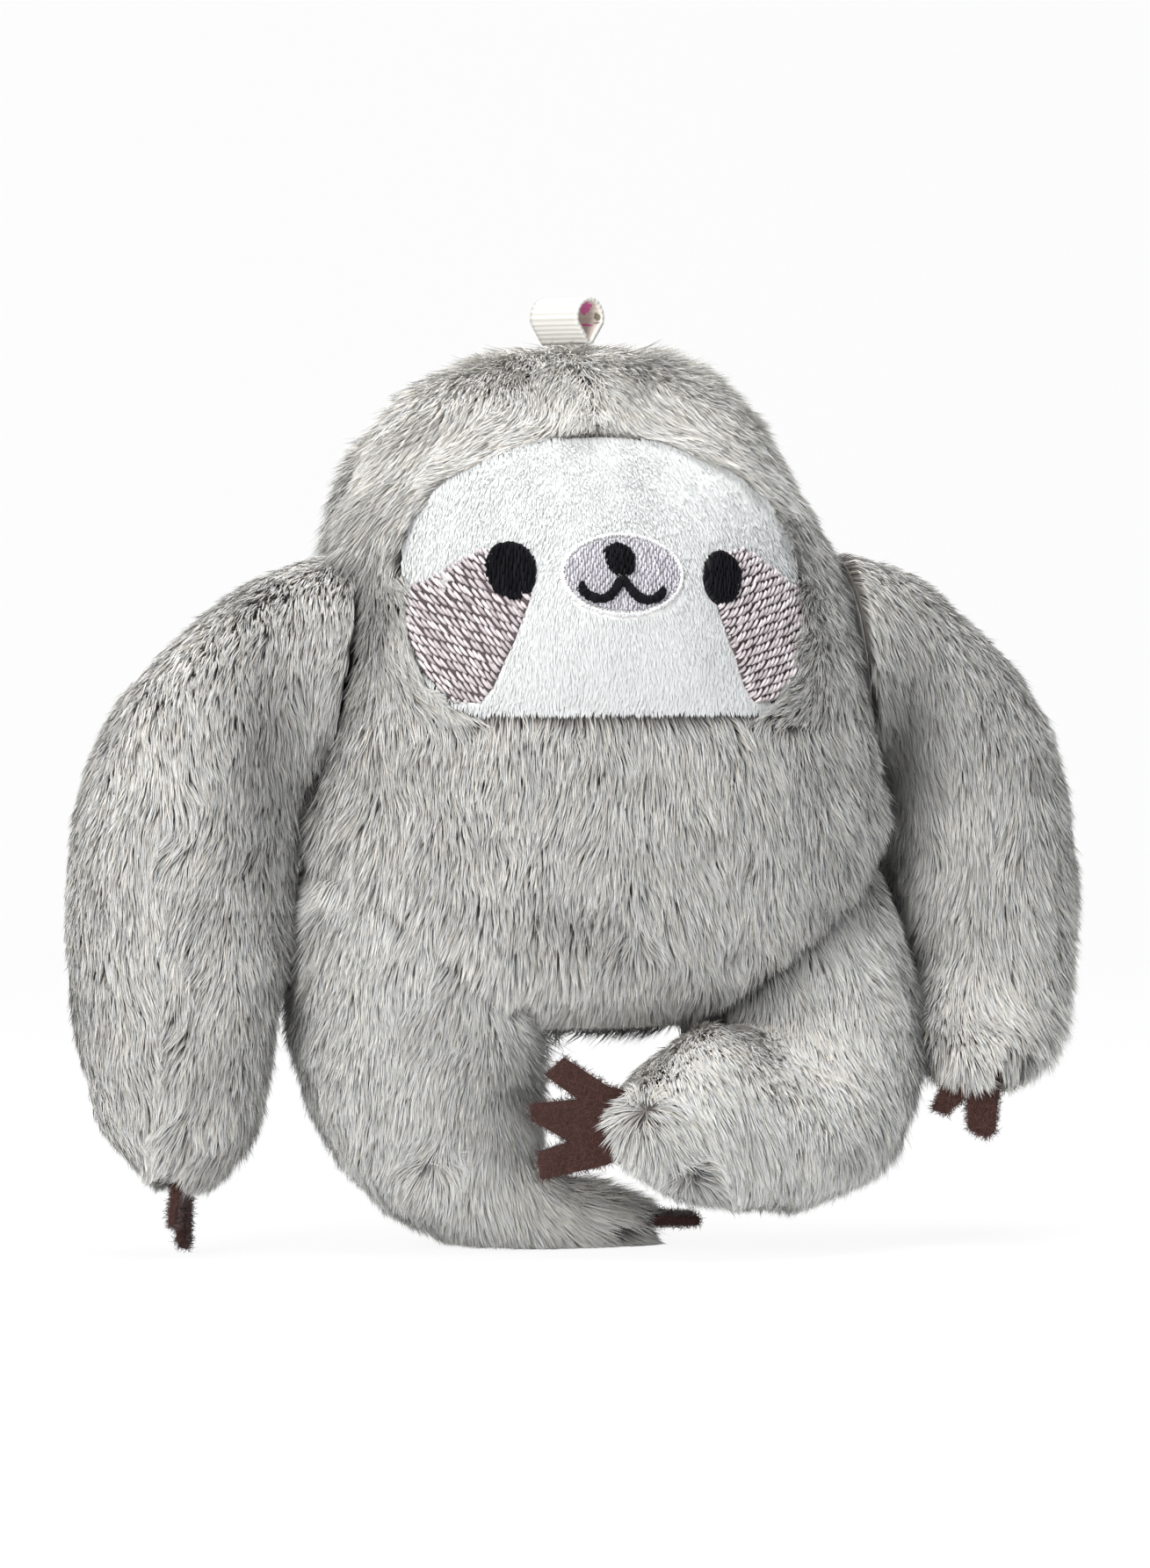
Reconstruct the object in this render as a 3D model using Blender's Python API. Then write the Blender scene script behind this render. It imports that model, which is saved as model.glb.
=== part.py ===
"""Plush sloth, a small stuffed toy with a hanging ribbon, standing on its folded leg.

The body and head are one stuffed form in pile fabric: a chest panel, a back panel and two hood
panels, with a smooth face panel set into the hood. Two arms and two curled legs are sewn on at
flat seams, so each turns in the plane of its seam. The claws are cut from felt. The toy faces -Y,
and left and right are those of someone who looks at its face.
"""
import math

import bmesh
import bpy
from mathutils import Matrix, Vector

for old in list(bpy.data.objects):
    bpy.data.objects.remove(old, do_unlink=True)

# Fabrics, the clearance that sewn pieces keep, and how far a cutter reaches
PILE_THICKNESS = 0.0028
FACE_THICKNESS = 0.0020
FACE_SET_IN = 0.0008
THREAD_THICKNESS = 0.0005
FELT_THICKNESS = 0.0012
GAP = 0.0003
CUTTER_REACH = 0.3
JOIN_DISTANCE = 0.00005
ORIGIN_SHIFT_X = 0.00175
ORIGIN_SHIFT_Y = 0.00153

# Body and head
BODY_BOTTOM = 0.031
BODY_HEIGHT = 0.097
BODY_HALF_WIDTH = 0.0423
BODY_HALF_DEPTH = 0.028
HEAD_SET_BACK = 0.0045
HEAD_LEAN = 0.0025
SECTION_POWER = 2.2
QUARTER_STEPS = 6
CHIN_ROW = 7
# height, width, depth, set back, lean
BODY_SHARES = (
    (0.000, 0.000, 0.000, 0.00, 0.0),
    (0.008, 0.260, 0.300, 0.00, 0.0),
    (0.035, 0.520, 0.550, 0.00, 0.0),
    (0.090, 0.740, 0.760, 0.00, 0.0),
    (0.160, 0.885, 0.900, 0.00, 0.0),
    (0.240, 0.970, 0.975, 0.00, 0.0),
    (0.330, 1.000, 1.000, 0.00, 0.0),
    (0.470, 0.985, 0.985, 0.10, 0.0),
    (0.560, 0.945, 0.965, 0.30, 0.1),
    (0.655, 0.900, 0.945, 0.65, 0.4),
    (0.735, 0.845, 0.910, 0.90, 0.8),
    (0.800, 0.765, 0.840, 1.00, 1.0),
    (0.865, 0.675, 0.715, 1.00, 1.0),
    (0.915, 0.580, 0.595, 0.95, 1.0),
    (0.955, 0.460, 0.455, 0.85, 1.0),
    (0.982, 0.300, 0.290, 0.75, 1.0),
    (0.995, 0.140, 0.140, 0.70, 1.0),
    (1.000, 0.000, 0.000, 0.70, 1.0),
)

# Face panel: its widest line, the dome over it and the jaw under it
FACE_HALF_WIDTH = 0.0290
FACE_DOME_HEIGHT = 0.0190
FACE_JAW_HEIGHT = 0.0200
FACE_CHIN_HALF_WIDTH = 0.0210
FACE_BULGE = 0.0060
FACE_STEPS = 24
CHIN_STEPS = 10
# width and height of the jaw's corners, of the way from the chin's corner to the widest line
JAW_SHARES = ((0.0, 0.0), (0.35, 0.1), (0.64, 0.23), (0.85, 0.39), (0.95, 0.57), (0.99, 0.78))
FACE_RING_SHARES = (0.14, 0.28, 0.42, 0.56, 0.70, 0.85, 1.0)
THREAD_RING_SHARES = (0.35, 0.7, 1.0)
SURFACE_PROBE = 0.0004
TURN_PROBE = math.radians(7.5)
SHARP_EDGE_ANGLE = math.radians(50)

# Embroidery, by its distance from the face's middle line and its height over the chin
EYE_X = 0.0155
EYE_HEIGHT = 0.0184
EYE_HALF_WIDTH = 0.0032
EYE_HALF_HEIGHT = 0.0041
EYE_STEPS = 16
MUZZLE_HEIGHT = 0.0185
MUZZLE_HALF_WIDTH = 0.0093
MUZZLE_HALF_HEIGHT = 0.0060
MUZZLE_BORDER_WIDTH = 0.0010
MUZZLE_STEPS = 28
NOSE_TOP = 0.0229
NOSE_HEIGHT = 0.0047
NOSE_HALF_WIDTH = 0.0023
NOSE_OUTLINE_SHARES = (
    (0.55, 0.0), (0.9, 0.12), (1.0, 0.38), (0.82, 0.68), (0.5, 0.9), (0.36, 1.0),
    (-0.36, 1.0), (-0.5, 0.9), (-0.82, 0.68), (-1.0, 0.38), (-0.9, 0.12), (-0.55, 0.0),
)
MOUTH_TOP = 0.0177
MOUTH_HALF_WIDTH = 0.0061
MOUTH_HEIGHT = 0.0026
MOUTH_THREAD_WIDTH = 0.0014
MOUTH_PATH_SHARES = (
    (-1.0, 0.28), (-0.88, 0.68), (-0.64, 1.0), (-0.36, 1.0), (-0.14, 0.72), (0.0, 0.3),
    (0.14, 0.72), (0.36, 1.0), (0.64, 1.0), (0.88, 0.68), (1.0, 0.28),
)
CHEEK_HEIGHT = 0.0222
CHEEK_WIDTH = 0.0160
CHEEK_EDGE = 0.0010
# heights of the corners that follow the face's edge, then the others, from the edge inward and up
CHEEK_EDGE_HEIGHT_SHARES = (0.10, 0.27, 0.50, 0.75)
CHEEK_OUTLINE_SHARES = (
    (0.64, 1.0), (0.92, 0.92), (1.0, 0.68), (0.86, 0.40), (0.66, 0.09), (0.56, 0.03),
)

# Ribbon loop at the crown
RIBBON_WIDTH = 0.0090
RIBBON_THICKNESS = 0.0006
RIBBON_LOOP_RADIUS = 0.0028
RIBBON_LOOP_HEIGHT = 0.0030
RIBBON_FOLD_RADIUS = 0.0008
RIBBON_X = -0.0025
RIBBON_Y = 0.0035
RIBBON_TURN = math.radians(-58)
RIBBON_ARC_STEPS = 14

# Shoulder seams and arms
SHOULDER_HEIGHT = 0.0845
SHOULDER_SPREAD = 0.0378
SHOULDER_LEAN = math.radians(8.7)
LIMB_QUARTER_STEPS = 4
LIMB_SECTION_POWER = 2.3
ARM_ROOT_HALF_WIDTH = 0.0152
ARM_HALF_DEPTH = 0.0130
LEFT_ARM_REACH = 0.0382
LEFT_ARM_DROP = 0.0743
LEFT_ARM_CURL = 0
RIGHT_ARM_REACH = 0.0347
RIGHT_ARM_DROP = 0.0595
RIGHT_ARM_CURL = 0.0135
# A limb's rows after its root: the outer edge's reach and drop from the seam's middle, then the
# inner edge's, how far forward both are, and half the depth; the last row is the tip
LEFT_ARM_SHARES = (
    (0.200, -0.170, 0.080, 0.220, 0, 0.94),
    (0.410, -0.105, 0.090, 0.230, 0, 0.92),
    (0.610, -0.025, 0.100, 0.246, 0, 0.92),
    (0.785, 0.070, 0.107, 0.272, 0, 0.95),
    (0.920, 0.200, 0.118, 0.310, 0, 0.98),
    (0.995, 0.370, 0.152, 0.417, 0, 1.00),
    (1.000, 0.545, 0.204, 0.565, 0, 1.00),
    (0.970, 0.720, 0.238, 0.727, 0, 0.97),
    (0.908, 0.861, 0.288, 0.855, 0, 0.85),
    (0.777, 0.956, 0.385, 0.949, 0, 0.57),
    (0.568, 1.000, 0.568, 1.000, 0, 0),
)
RIGHT_ARM_SHARES = (
    (0.222, -0.210, 0.090, 0.274, -0.04, 0.94),
    (0.452, -0.114, 0.100, 0.287, -0.09, 0.92),
    (0.669, -0.005, 0.112, 0.308, -0.15, 0.92),
    (0.850, 0.143, 0.130, 0.340, -0.22, 0.94),
    (0.957, 0.319, 0.161, 0.403, -0.30, 0.96),
    (1.000, 0.513, 0.222, 0.538, -0.32, 0.97),
    (0.994, 0.697, 0.277, 0.706, -0.24, 0.97),
    (0.934, 0.832, 0.254, 0.815, 0.00, 0.94),
    (0.815, 0.933, 0.251, 0.924, 0.48, 0.80),
    (0.645, 0.983, 0.284, 0.976, 0.86, 0.53),
    (0.440, 1.000, 0.440, 1.000, 1.08, 0),
)

# Hip seams and legs
HIP_HEIGHT = 0.0441
HIP_SPREAD = 0.0264
HIP_SLOPE = math.radians(41.7)
LEG_ROOT_HALF_WIDTH = 0.0180
LEG_HALF_DEPTH = 0.0155
LEFT_LEG_REACH = 0.0352
LEFT_LEG_DROP = 0.0446
LEFT_LEG_BACK = 0.0015
RIGHT_LEG_REACH = 0.0297
RIGHT_LEG_DROP = 0.0368
RIGHT_LEG_FORWARD = 0.0230
# Rows as an arm's: the thigh goes down, and the knee turns the leg inward to the toe
LEFT_LEG_SHARES = (
    (0.466, -0.043, -0.423, 0.327, 0.20, 0.99),
    (0.477, 0.204, -0.472, 0.417, 0.40, 0.98),
    (0.429, 0.428, -0.494, 0.529, 0.53, 0.97),
    (0.315, 0.630, -0.500, 0.612, 0.67, 0.92),
    (0.145, 0.787, -0.514, 0.668, 0.77, 0.84),
    (-0.054, 0.895, -0.540, 0.715, 0.83, 0.77),
    (-0.267, 0.962, -0.580, 0.756, 0.90, 0.71),
    (-0.480, 0.998, -0.653, 0.787, 1.00, 0.61),
    (-0.679, 1.000, -0.773, 0.812, 1.00, 0.50),
    (-0.892, 0.999, -0.896, 0.848, 1.00, 0.34),
    (-1.000, 0.904, -1.000, 0.904, 1.00, 0),
)
RIGHT_LEG_SHARES = (
    (0.579, -0.120, -0.434, 0.356, 0.02, 0.97),
    (0.653, 0.125, -0.400, 0.356, 0.09, 0.94),
    (0.667, 0.383, -0.384, 0.335, 0.23, 0.91),
    (0.576, 0.655, -0.390, 0.320, 0.42, 0.89),
    (0.357, 0.864, -0.420, 0.310, 0.62, 0.87),
    (0.071, 0.976, -0.492, 0.305, 0.77, 0.85),
    (-0.232, 1.000, -0.586, 0.329, 0.87, 0.81),
    (-0.502, 0.973, -0.694, 0.383, 0.925, 0.73),
    (-0.720, 0.913, -0.811, 0.451, 0.965, 0.60),
    (-0.889, 0.823, -0.912, 0.541, 0.99, 0.39),
    (-1.000, 0.677, -1.000, 0.677, 1.00, 0),
)

# Felt claws: a hand's pair and a foot's three, cut from one piece each
HAND_CLAW_LENGTH = 0.0105
FOOT_CLAW_LENGTH = 0.0120
CLAW_ROOT_SHARE = 0.40
# across and outward from the fur's end
HAND_CLAW_SHARES = (
    (-0.33, 0.0), (-0.60, 0.62), (-0.40, 0.68), (-0.13, 0.42), (-0.11, 0.88), (0.12, 1.0),
    (0.24, 0.93), (0.32, 0.24), (0.30, 0.0),
)
HAND_ROOT_HALF_SHARE = 0.28
FOOT_CLAW_SHARES = (
    (0.42, 0.08), (0.76, 0.60), (0.56, 0.83), (0.27, 0.43), (0.23, 1.0), (0.04, 1.0),
    (-0.22, 0.54), (-0.34, 0.92), (-0.66, 0.88), (-0.50, 0.10),
)
FOOT_ROOT_HALF_SHARE = 0.30
# how far inside the limb's tip each felt outline starts
HAND_CLAW_INSET = 0.0010
LEFT_FOOT_CLAW_INSET = 0.0050
RIGHT_FOOT_CLAW_INSET = 0.0005
LEFT_HAND_TURN = math.radians(64)
RIGHT_HAND_TURN = math.radians(16)

PILE_GREY = (0.42, 0.41, 0.39, 1)
FACE_WHITE = (0.87, 0.87, 0.85, 1)
STUFFING_WHITE = (0.9, 0.9, 0.88, 1)
CHEEK_TAUPE = (0.45, 0.36, 0.39, 1)
MUZZLE_LILAC = (0.62, 0.58, 0.65, 1)
THREAD_WHITE = (0.9, 0.9, 0.9, 1)
THREAD_BLACK = (0.01, 0.01, 0.012, 1)
FELT_BROWN = (0.09, 0.025, 0.018, 1)
RIBBON_IVORY = (0.85, 0.82, 0.77, 1)


def material(name, colour, roughness):
    made = bpy.data.materials.new(name)
    made.use_nodes = True
    shader = made.node_tree.nodes["Principled BSDF"]
    shader.inputs["Base Color"].default_value = colour
    shader.inputs["Roughness"].default_value = roughness
    shader.inputs["Metallic"].default_value = 0
    return made


PILE = material("pile_fabric", PILE_GREY, 0.95)
MINKY = material("face_fabric", FACE_WHITE, 0.9)
FIBRE = material("stuffing_fibre", STUFFING_WHITE, 1.0)
CHEEK_THREAD = material("cheek_thread", CHEEK_TAUPE, 0.5)
MUZZLE_THREAD = material("muzzle_thread", MUZZLE_LILAC, 0.45)
WHITE_THREAD = material("white_thread", THREAD_WHITE, 0.4)
BLACK_THREAD = material("black_thread", THREAD_BLACK, 0.45)
FELT = material("claw_felt", FELT_BROWN, 0.95)
RIBBON = material("ribbon_weave", RIBBON_IVORY, 0.6)


# Solids from rows of points, and cuts
def add_object(name, build, finish):
    """An object of a bmesh, with its faces pointing out."""
    bmesh.ops.recalc_face_normals(build, faces=build.faces)
    if build.calc_volume(signed=True) < 0:
        bmesh.ops.reverse_faces(build, faces=build.faces)
    mesh = bpy.data.meshes.new(name)
    build.to_mesh(mesh)
    build.free()
    if finish:
        mesh.materials.append(finish)
    made = bpy.data.objects.new(name, mesh)
    bpy.context.collection.objects.link(made)
    return made


def join_rows(build, low, high, closed):
    """Faces between two rows of vertices, either of which may be one point."""
    count = max(len(low), len(high))
    for step in range(count if closed else count - 1):
        after = (step + 1) % count
        if len(low) == 1:
            build.faces.new((low[0], high[after], high[step]))
        elif len(high) == 1:
            build.faces.new((low[step], low[after], high[0]))
        else:
            build.faces.new((low[step], low[after], high[after], high[step]))


def closed_form(name, rows, finish):
    """A solid through closed rings; the first ring may be a flat end, the last comes to a point."""
    build = bmesh.new()
    rings = [[build.verts.new(p) for p in row] for row in rows]
    for low, high in zip(rings, rings[1:]):
        join_rows(build, low, high, True)
    for end in (rings[0], rings[-1]):
        if len(end) > 1:
            build.faces.new(end)
    return add_object(name, build, finish)


def panel(name, outer_rows, inner_rows, finish, closed=False):
    """A thick sheet between an outer and an inner grid of points, with walls round its edge."""
    build = bmesh.new()
    outer = [[build.verts.new(p) for p in row] for row in outer_rows]
    inner = [[build.verts.new(p) for p in row] for row in inner_rows]
    for grid in (outer, inner):
        for low, high in zip(grid, grid[1:]):
            join_rows(build, low, high, closed)
    for k in (0, -1):
        if len(outer[k]) > 1:
            join_rows(build, outer[k], inner[k], closed)
    if not closed:
        for side in (0, -1):
            join_rows(build, [row[side] for row in outer], [row[side] for row in inner], False)
    return add_object(name, build, finish)


def prism(name, outline, low, high, place):
    """An outline pulled from low to high; place turns (across, up, along) into a point."""
    build = bmesh.new()
    ends = [[build.verts.new(place(a, b, along)) for a, b in outline] for along in (low, high)]
    join_rows(build, ends[0], ends[1], True)
    build.faces.new(ends[0])
    build.faces.new(ends[1])
    return add_object(name, build, None)


def drop_chips(build):
    """Removes all but the largest of the bodies that a cut has left."""
    left = set(build.faces)
    bodies = []
    while left:
        body = [left.pop()]
        for face in body:
            near = {other for edge in face.edges for other in edge.link_faces} & left
            left -= near
            body += near
        bodies.append(body)
    largest = max(bodies, key=lambda body: sum(face.calc_area() for face in body))
    for body in bodies:
        if body is not largest:
            bmesh.ops.delete(build, geom=body, context="FACES")


def cut(target, cutter, operation, keep=False):
    """Applies a Boolean, joins points that are nearly one and, unless it is kept, removes the cutter."""
    boolean = target.modifiers.new("cut", "BOOLEAN")
    boolean.object = cutter
    boolean.operation = operation
    boolean.solver = "EXACT"
    seen = target.evaluated_get(bpy.context.evaluated_depsgraph_get())
    mesh = bpy.data.meshes.new_from_object(seen)
    target.modifiers.clear()
    build = bmesh.new()
    build.from_mesh(mesh)
    bmesh.ops.remove_doubles(build, verts=build.verts, dist=JOIN_DISTANCE)
    drop_chips(build)
    build.to_mesh(mesh)
    build.free()
    target.data = mesh
    if not keep:
        bpy.data.objects.remove(cutter, do_unlink=True)
    return target


def half_space(point, normal):
    """A box that fills the side of a plane that its normal points to."""
    across = normal.orthogonal().normalized()
    up = normal.cross(across)

    def place(a, b, along):
        return point + across * a + up * b + normal * along

    square = [(-CUTTER_REACH, -CUTTER_REACH), (CUTTER_REACH, -CUTTER_REACH)]
    square += [(CUTTER_REACH, CUTTER_REACH), (-CUTTER_REACH, CUTTER_REACH)]
    return prism("cutter", square, 0, CUTTER_REACH, place)


# Seam planes of the limbs, side -1 on the left and 1 on the right; normals point away from the body
def shoulder_plane(side):
    middle = Vector((side * SHOULDER_SPREAD, 0, SHOULDER_HEIGHT))
    return middle, Vector((side * math.cos(SHOULDER_LEAN), 0, math.sin(SHOULDER_LEAN)))


def hip_plane(side):
    middle = Vector((side * HIP_SPREAD, 0, HIP_HEIGHT))
    return middle, Vector((side * math.sin(HIP_SLOPE), 0, -math.cos(HIP_SLOPE)))


SEAM_PLANES = [plane(side) for plane in (shoulder_plane, hip_plane) for side in (-1, 1)]

# The body's surface
CHIN_HEIGHT = BODY_BOTTOM + BODY_HEIGHT * BODY_SHARES[CHIN_ROW][0]
FACE_LINE = CHIN_HEIGHT + FACE_JAW_HEIGHT
FACE_X = -HEAD_LEAN


def body_section(row):
    height, width, depth, back, lean = BODY_SHARES[row]
    return (
        BODY_BOTTOM + BODY_HEIGHT * height,
        BODY_HALF_WIDTH * width,
        BODY_HALF_DEPTH * depth,
        HEAD_SET_BACK * back,
        -HEAD_LEAN * lean,
    )


def bulge(x, z):
    """How far the stuffed face swells forward of the head's plain form."""
    across = (x - FACE_X) / FACE_HALF_WIDTH
    half_height = (FACE_DOME_HEIGHT + FACE_JAW_HEIGHT) / 2
    up = (z - CHIN_HEIGHT - half_height) / half_height
    return FACE_BULGE * max(0, 1 - across**2) * max(0, 1 - up**2)


def ring_point(row, angle):
    z, a, b, back, lean = body_section(row)
    x = math.copysign(abs(math.cos(angle)) ** (2 / SECTION_POWER), math.cos(angle)) * a + lean
    y = math.copysign(abs(math.sin(angle)) ** (2 / SECTION_POWER), math.sin(angle)) * b
    if y < 0:
        y -= bulge(x, z)
    return Vector((x, y + back, z))


def body_point(row, angle, depth):
    """A point at a depth under the body's surface, kept inside the limbs' seam planes."""
    last = len(BODY_SHARES) - 1
    point = ring_point(row, angle)
    if row in (0, last):
        point.z += depth if row == 0 else -depth
        return point
    along = ring_point(row, angle + TURN_PROBE) - ring_point(row, angle - TURN_PROBE)
    up = ring_point(row + 1, angle) - ring_point(row - 1, angle)
    point -= along.cross(up).normalized() * depth
    for middle, normal in SEAM_PLANES:
        past = (point - middle).dot(normal) + depth
        if past > 0:
            point -= normal * past
    return point


def body_rows(rows, angles, depth, shift=Vector()):
    """Rows of points; the body's lowest and highest row are one point each."""
    ends = (0, len(BODY_SHARES) - 1)
    grid = []
    for row in rows:
        around = angles[:1] if row in ends else angles
        grid.append([body_point(row, angle, depth) + shift for angle in around])
    return grid


def fan(start, end, steps):
    return [start + (end - start) * k / steps for k in range(steps + 1)]


def body_panel(name, rows, angles, shift):
    outer = body_rows(rows, angles, 0, shift)
    inner = body_rows(rows, angles, PILE_THICKNESS, shift)
    return panel(name, outer, inner, PILE)


HALF_GAP = GAP / 2
ALL_ROWS = range(len(BODY_SHARES))
FRONT = fan(-math.pi, 0, 2 * QUARTER_STEPS)
FRONT_LEFT = fan(-math.pi, -math.pi / 2, QUARTER_STEPS)
FRONT_RIGHT = fan(-math.pi / 2, 0, QUARTER_STEPS)
BACK = fan(0, math.pi, 2 * QUARTER_STEPS)

body_panel("chest_panel", ALL_ROWS[: CHIN_ROW + 1], FRONT, Vector((0, -HALF_GAP, -HALF_GAP)))
body_panel("back_panel", ALL_ROWS, BACK, Vector((0, HALF_GAP, 0)))
hood_left = body_panel(
    "hood_left", ALL_ROWS[CHIN_ROW:], FRONT_LEFT, Vector((-HALF_GAP, -HALF_GAP, HALF_GAP))
)
hood_right = body_panel(
    "hood_right", ALL_ROWS[CHIN_ROW:], FRONT_RIGHT, Vector((HALF_GAP, -HALF_GAP, HALF_GAP))
)
AROUND = fan(-math.pi, math.pi, 4 * QUARTER_STEPS)[:-1]
closed_form("body_stuffing", body_rows(ALL_ROWS, AROUND, PILE_THICKNESS + GAP), FIBRE)


# The face's outline, as it is seen from the front, and its place on the head
JAW_WIDENING = FACE_HALF_WIDTH - FACE_CHIN_HALF_WIDTH


def face_outline(grow):
    """Half an ellipse over the face's widest line and a curved jaw with a straight chin under it."""
    points = []
    for k in range(FACE_STEPS + 1):
        angle = math.pi * k / FACE_STEPS
        points.append((
            FACE_X + (FACE_HALF_WIDTH + grow) * math.cos(angle),
            FACE_LINE + (FACE_DOME_HEIGHT + grow) * math.sin(angle),
        ))
    chin_z = CHIN_HEIGHT + HALF_GAP - grow
    jaw = []
    for across, up in JAW_SHARES:
        jaw.append((FACE_CHIN_HALF_WIDTH + JAW_WIDENING * across + grow, FACE_JAW_HEIGHT * up))
    points += [(FACE_X - half, chin_z + up) for half, up in jaw[::-1]]
    chin = fan(-FACE_CHIN_HALF_WIDTH, FACE_CHIN_HALF_WIDTH, CHIN_STEPS)[1:-1]
    points += [(FACE_X + x, chin_z) for x in chin]
    points += [(FACE_X + half, chin_z + up) for half, up in jaw]
    return points


def between_rows(z):
    """The body's section at any height."""
    for row in range(1, len(BODY_SHARES) - 1):
        low, high = body_section(row), body_section(row + 1)
        if z <= high[0]:
            break
    share = (z - low[0]) / (high[0] - low[0])
    return [a + (b - a) * share for a, b in zip(low, high)]


def front_y(x, z):
    _, a, b, back, lean = between_rows(z)
    across = min(1, abs((x - lean) / a))
    return back - b * (1 - across**SECTION_POWER) ** (1 / SECTION_POWER) - bulge(x, z)


def face_point(x, z, lift):
    """A point over the face panel's outer side, or under it where lift is negative."""
    probe = SURFACE_PROBE
    slope_x = front_y(x + probe, z) - front_y(x - probe, z)
    slope_z = front_y(x, z + probe) - front_y(x, z - probe)
    normal = Vector((slope_x, -(probe + probe), slope_z)).normalized()
    return Vector((x, front_y(x, z), z)) + normal * (lift - FACE_SET_IN)


def patch(name, outline, low, high, ring_shares, finish):
    """A sheet on the face that fills an outline, from its middle out."""
    middle_x = sum(x for x, _ in outline) / len(outline)
    middle_z = sum(z for _, z in outline) / len(outline)

    def rows(lift):
        grid = [[face_point(middle_x, middle_z, lift)]]
        for share in ring_shares:
            grid.append([
                face_point(middle_x + (x - middle_x) * share, middle_z + (z - middle_z) * share, lift)
                for x, z in outline
            ])
        return grid

    return panel(name, rows(high), rows(low), finish, closed=True)


def face_place(a, b, along):
    return Vector((a, along, b))


opening = prism("cutter", face_outline(GAP), -CUTTER_REACH, 0, face_place)
cut(hood_left, opening, "DIFFERENCE", keep=True)
cut(hood_right, opening, "DIFFERENCE")
face_panel = patch("face_panel", face_outline(0), -FACE_THICKNESS, 0, FACE_RING_SHARES, MINKY)

FIRST_THREAD = (GAP, GAP + THREAD_THICKNESS)
SECOND_THREAD = (FIRST_THREAD[1] + GAP, FIRST_THREAD[1] + GAP + THREAD_THICKNESS)


def oval(x, z, half_width, half_height, steps):
    turns = fan(0, 2 * math.pi, steps)[:-1]
    return [(x + half_width * math.cos(t), z + half_height * math.sin(t)) for t in turns]


def muzzle_oval(inset):
    half_width = MUZZLE_HALF_WIDTH - inset
    half_height = MUZZLE_HALF_HEIGHT - inset
    return oval(FACE_X, CHIN_HEIGHT + MUZZLE_HEIGHT, half_width, half_height, MUZZLE_STEPS)


def with_midpoints(outline):
    """The outline with a point added in the middle of each edge, so that it follows the face."""
    finer = []
    for (x, z), (next_x, next_z) in zip(outline, outline[1:] + outline[:1]):
        finer += [(x, z), ((x + next_x) / 2, (z + next_z) / 2)]
    return finer


def face_edge_x(z):
    """Half the face's width at a height."""
    if z >= FACE_LINE:
        return FACE_HALF_WIDTH * math.sqrt(1 - ((z - FACE_LINE) / FACE_DOME_HEIGHT) ** 2)
    up = (z - CHIN_HEIGHT) / FACE_JAW_HEIGHT
    corners = JAW_SHARES + ((1.0, 1.0),)
    for (low_across, low_up), (high_across, high_up) in zip(corners, corners[1:]):
        if up <= high_up:
            break
    across = low_across + (high_across - low_across) * (up - low_up) / (high_up - low_up)
    return FACE_CHIN_HALF_WIDTH + JAW_WIDENING * across


for side, word in ((-1, "left"), (1, "right")):
    cheek = []
    for up in CHEEK_EDGE_HEIGHT_SHARES:
        z = CHIN_HEIGHT + CHEEK_HEIGHT * up
        cheek.append((FACE_X + side * (face_edge_x(z) - CHEEK_EDGE), z))
    for inward, up in CHEEK_OUTLINE_SHARES:
        x = FACE_X + side * (FACE_HALF_WIDTH - CHEEK_WIDTH * inward)
        cheek.append((x, CHIN_HEIGHT + CHEEK_EDGE + CHEEK_HEIGHT * up))
    cheek_outline = with_midpoints(cheek)
    patch("cheek_patch_" + word, cheek_outline, *FIRST_THREAD, THREAD_RING_SHARES, CHEEK_THREAD)
    eye_x = FACE_X + side * EYE_X
    eye = oval(eye_x, CHIN_HEIGHT + EYE_HEIGHT, EYE_HALF_WIDTH, EYE_HALF_HEIGHT, EYE_STEPS)
    patch("eye_" + word, eye, *SECOND_THREAD, THREAD_RING_SHARES, BLACK_THREAD)

muzzle = muzzle_oval(MUZZLE_BORDER_WIDTH + GAP)
patch("muzzle_patch", muzzle, *FIRST_THREAD, THREAD_RING_SHARES, MUZZLE_THREAD)
border = []
for lift in FIRST_THREAD[::-1]:
    rows = []
    for inset in (0, MUZZLE_BORDER_WIDTH):
        rows.append([face_point(x, z, lift) for x, z in muzzle_oval(inset)])
    border.append(rows)
panel("muzzle_border", border[0], border[1], WHITE_THREAD, closed=True)

nose = [
    (FACE_X + NOSE_HALF_WIDTH * across, CHIN_HEIGHT + NOSE_TOP - NOSE_HEIGHT * down)
    for across, down in NOSE_OUTLINE_SHARES
]
patch("nose", nose, *SECOND_THREAD, THREAD_RING_SHARES, BLACK_THREAD)

mouth_path = [
    Vector((FACE_X + MOUTH_HALF_WIDTH * across, CHIN_HEIGHT + MOUTH_TOP - MOUTH_HEIGHT * down))
    for across, down in MOUTH_PATH_SHARES
]
mouth_rows = []
for lift in SECOND_THREAD[::-1]:
    rows = []
    for k, point in enumerate(mouth_path):
        ahead = mouth_path[min(k + 1, len(mouth_path) - 1)] - mouth_path[max(k - 1, 0)]
        beside = Vector((-ahead.y, ahead.x)).normalized() * MOUTH_THREAD_WIDTH / 2
        rows.append([face_point(*(point + beside), lift), face_point(*(point - beside), lift)])
    mouth_rows.append(rows)
panel("mouth", mouth_rows[0], mouth_rows[1], BLACK_THREAD)

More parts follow.
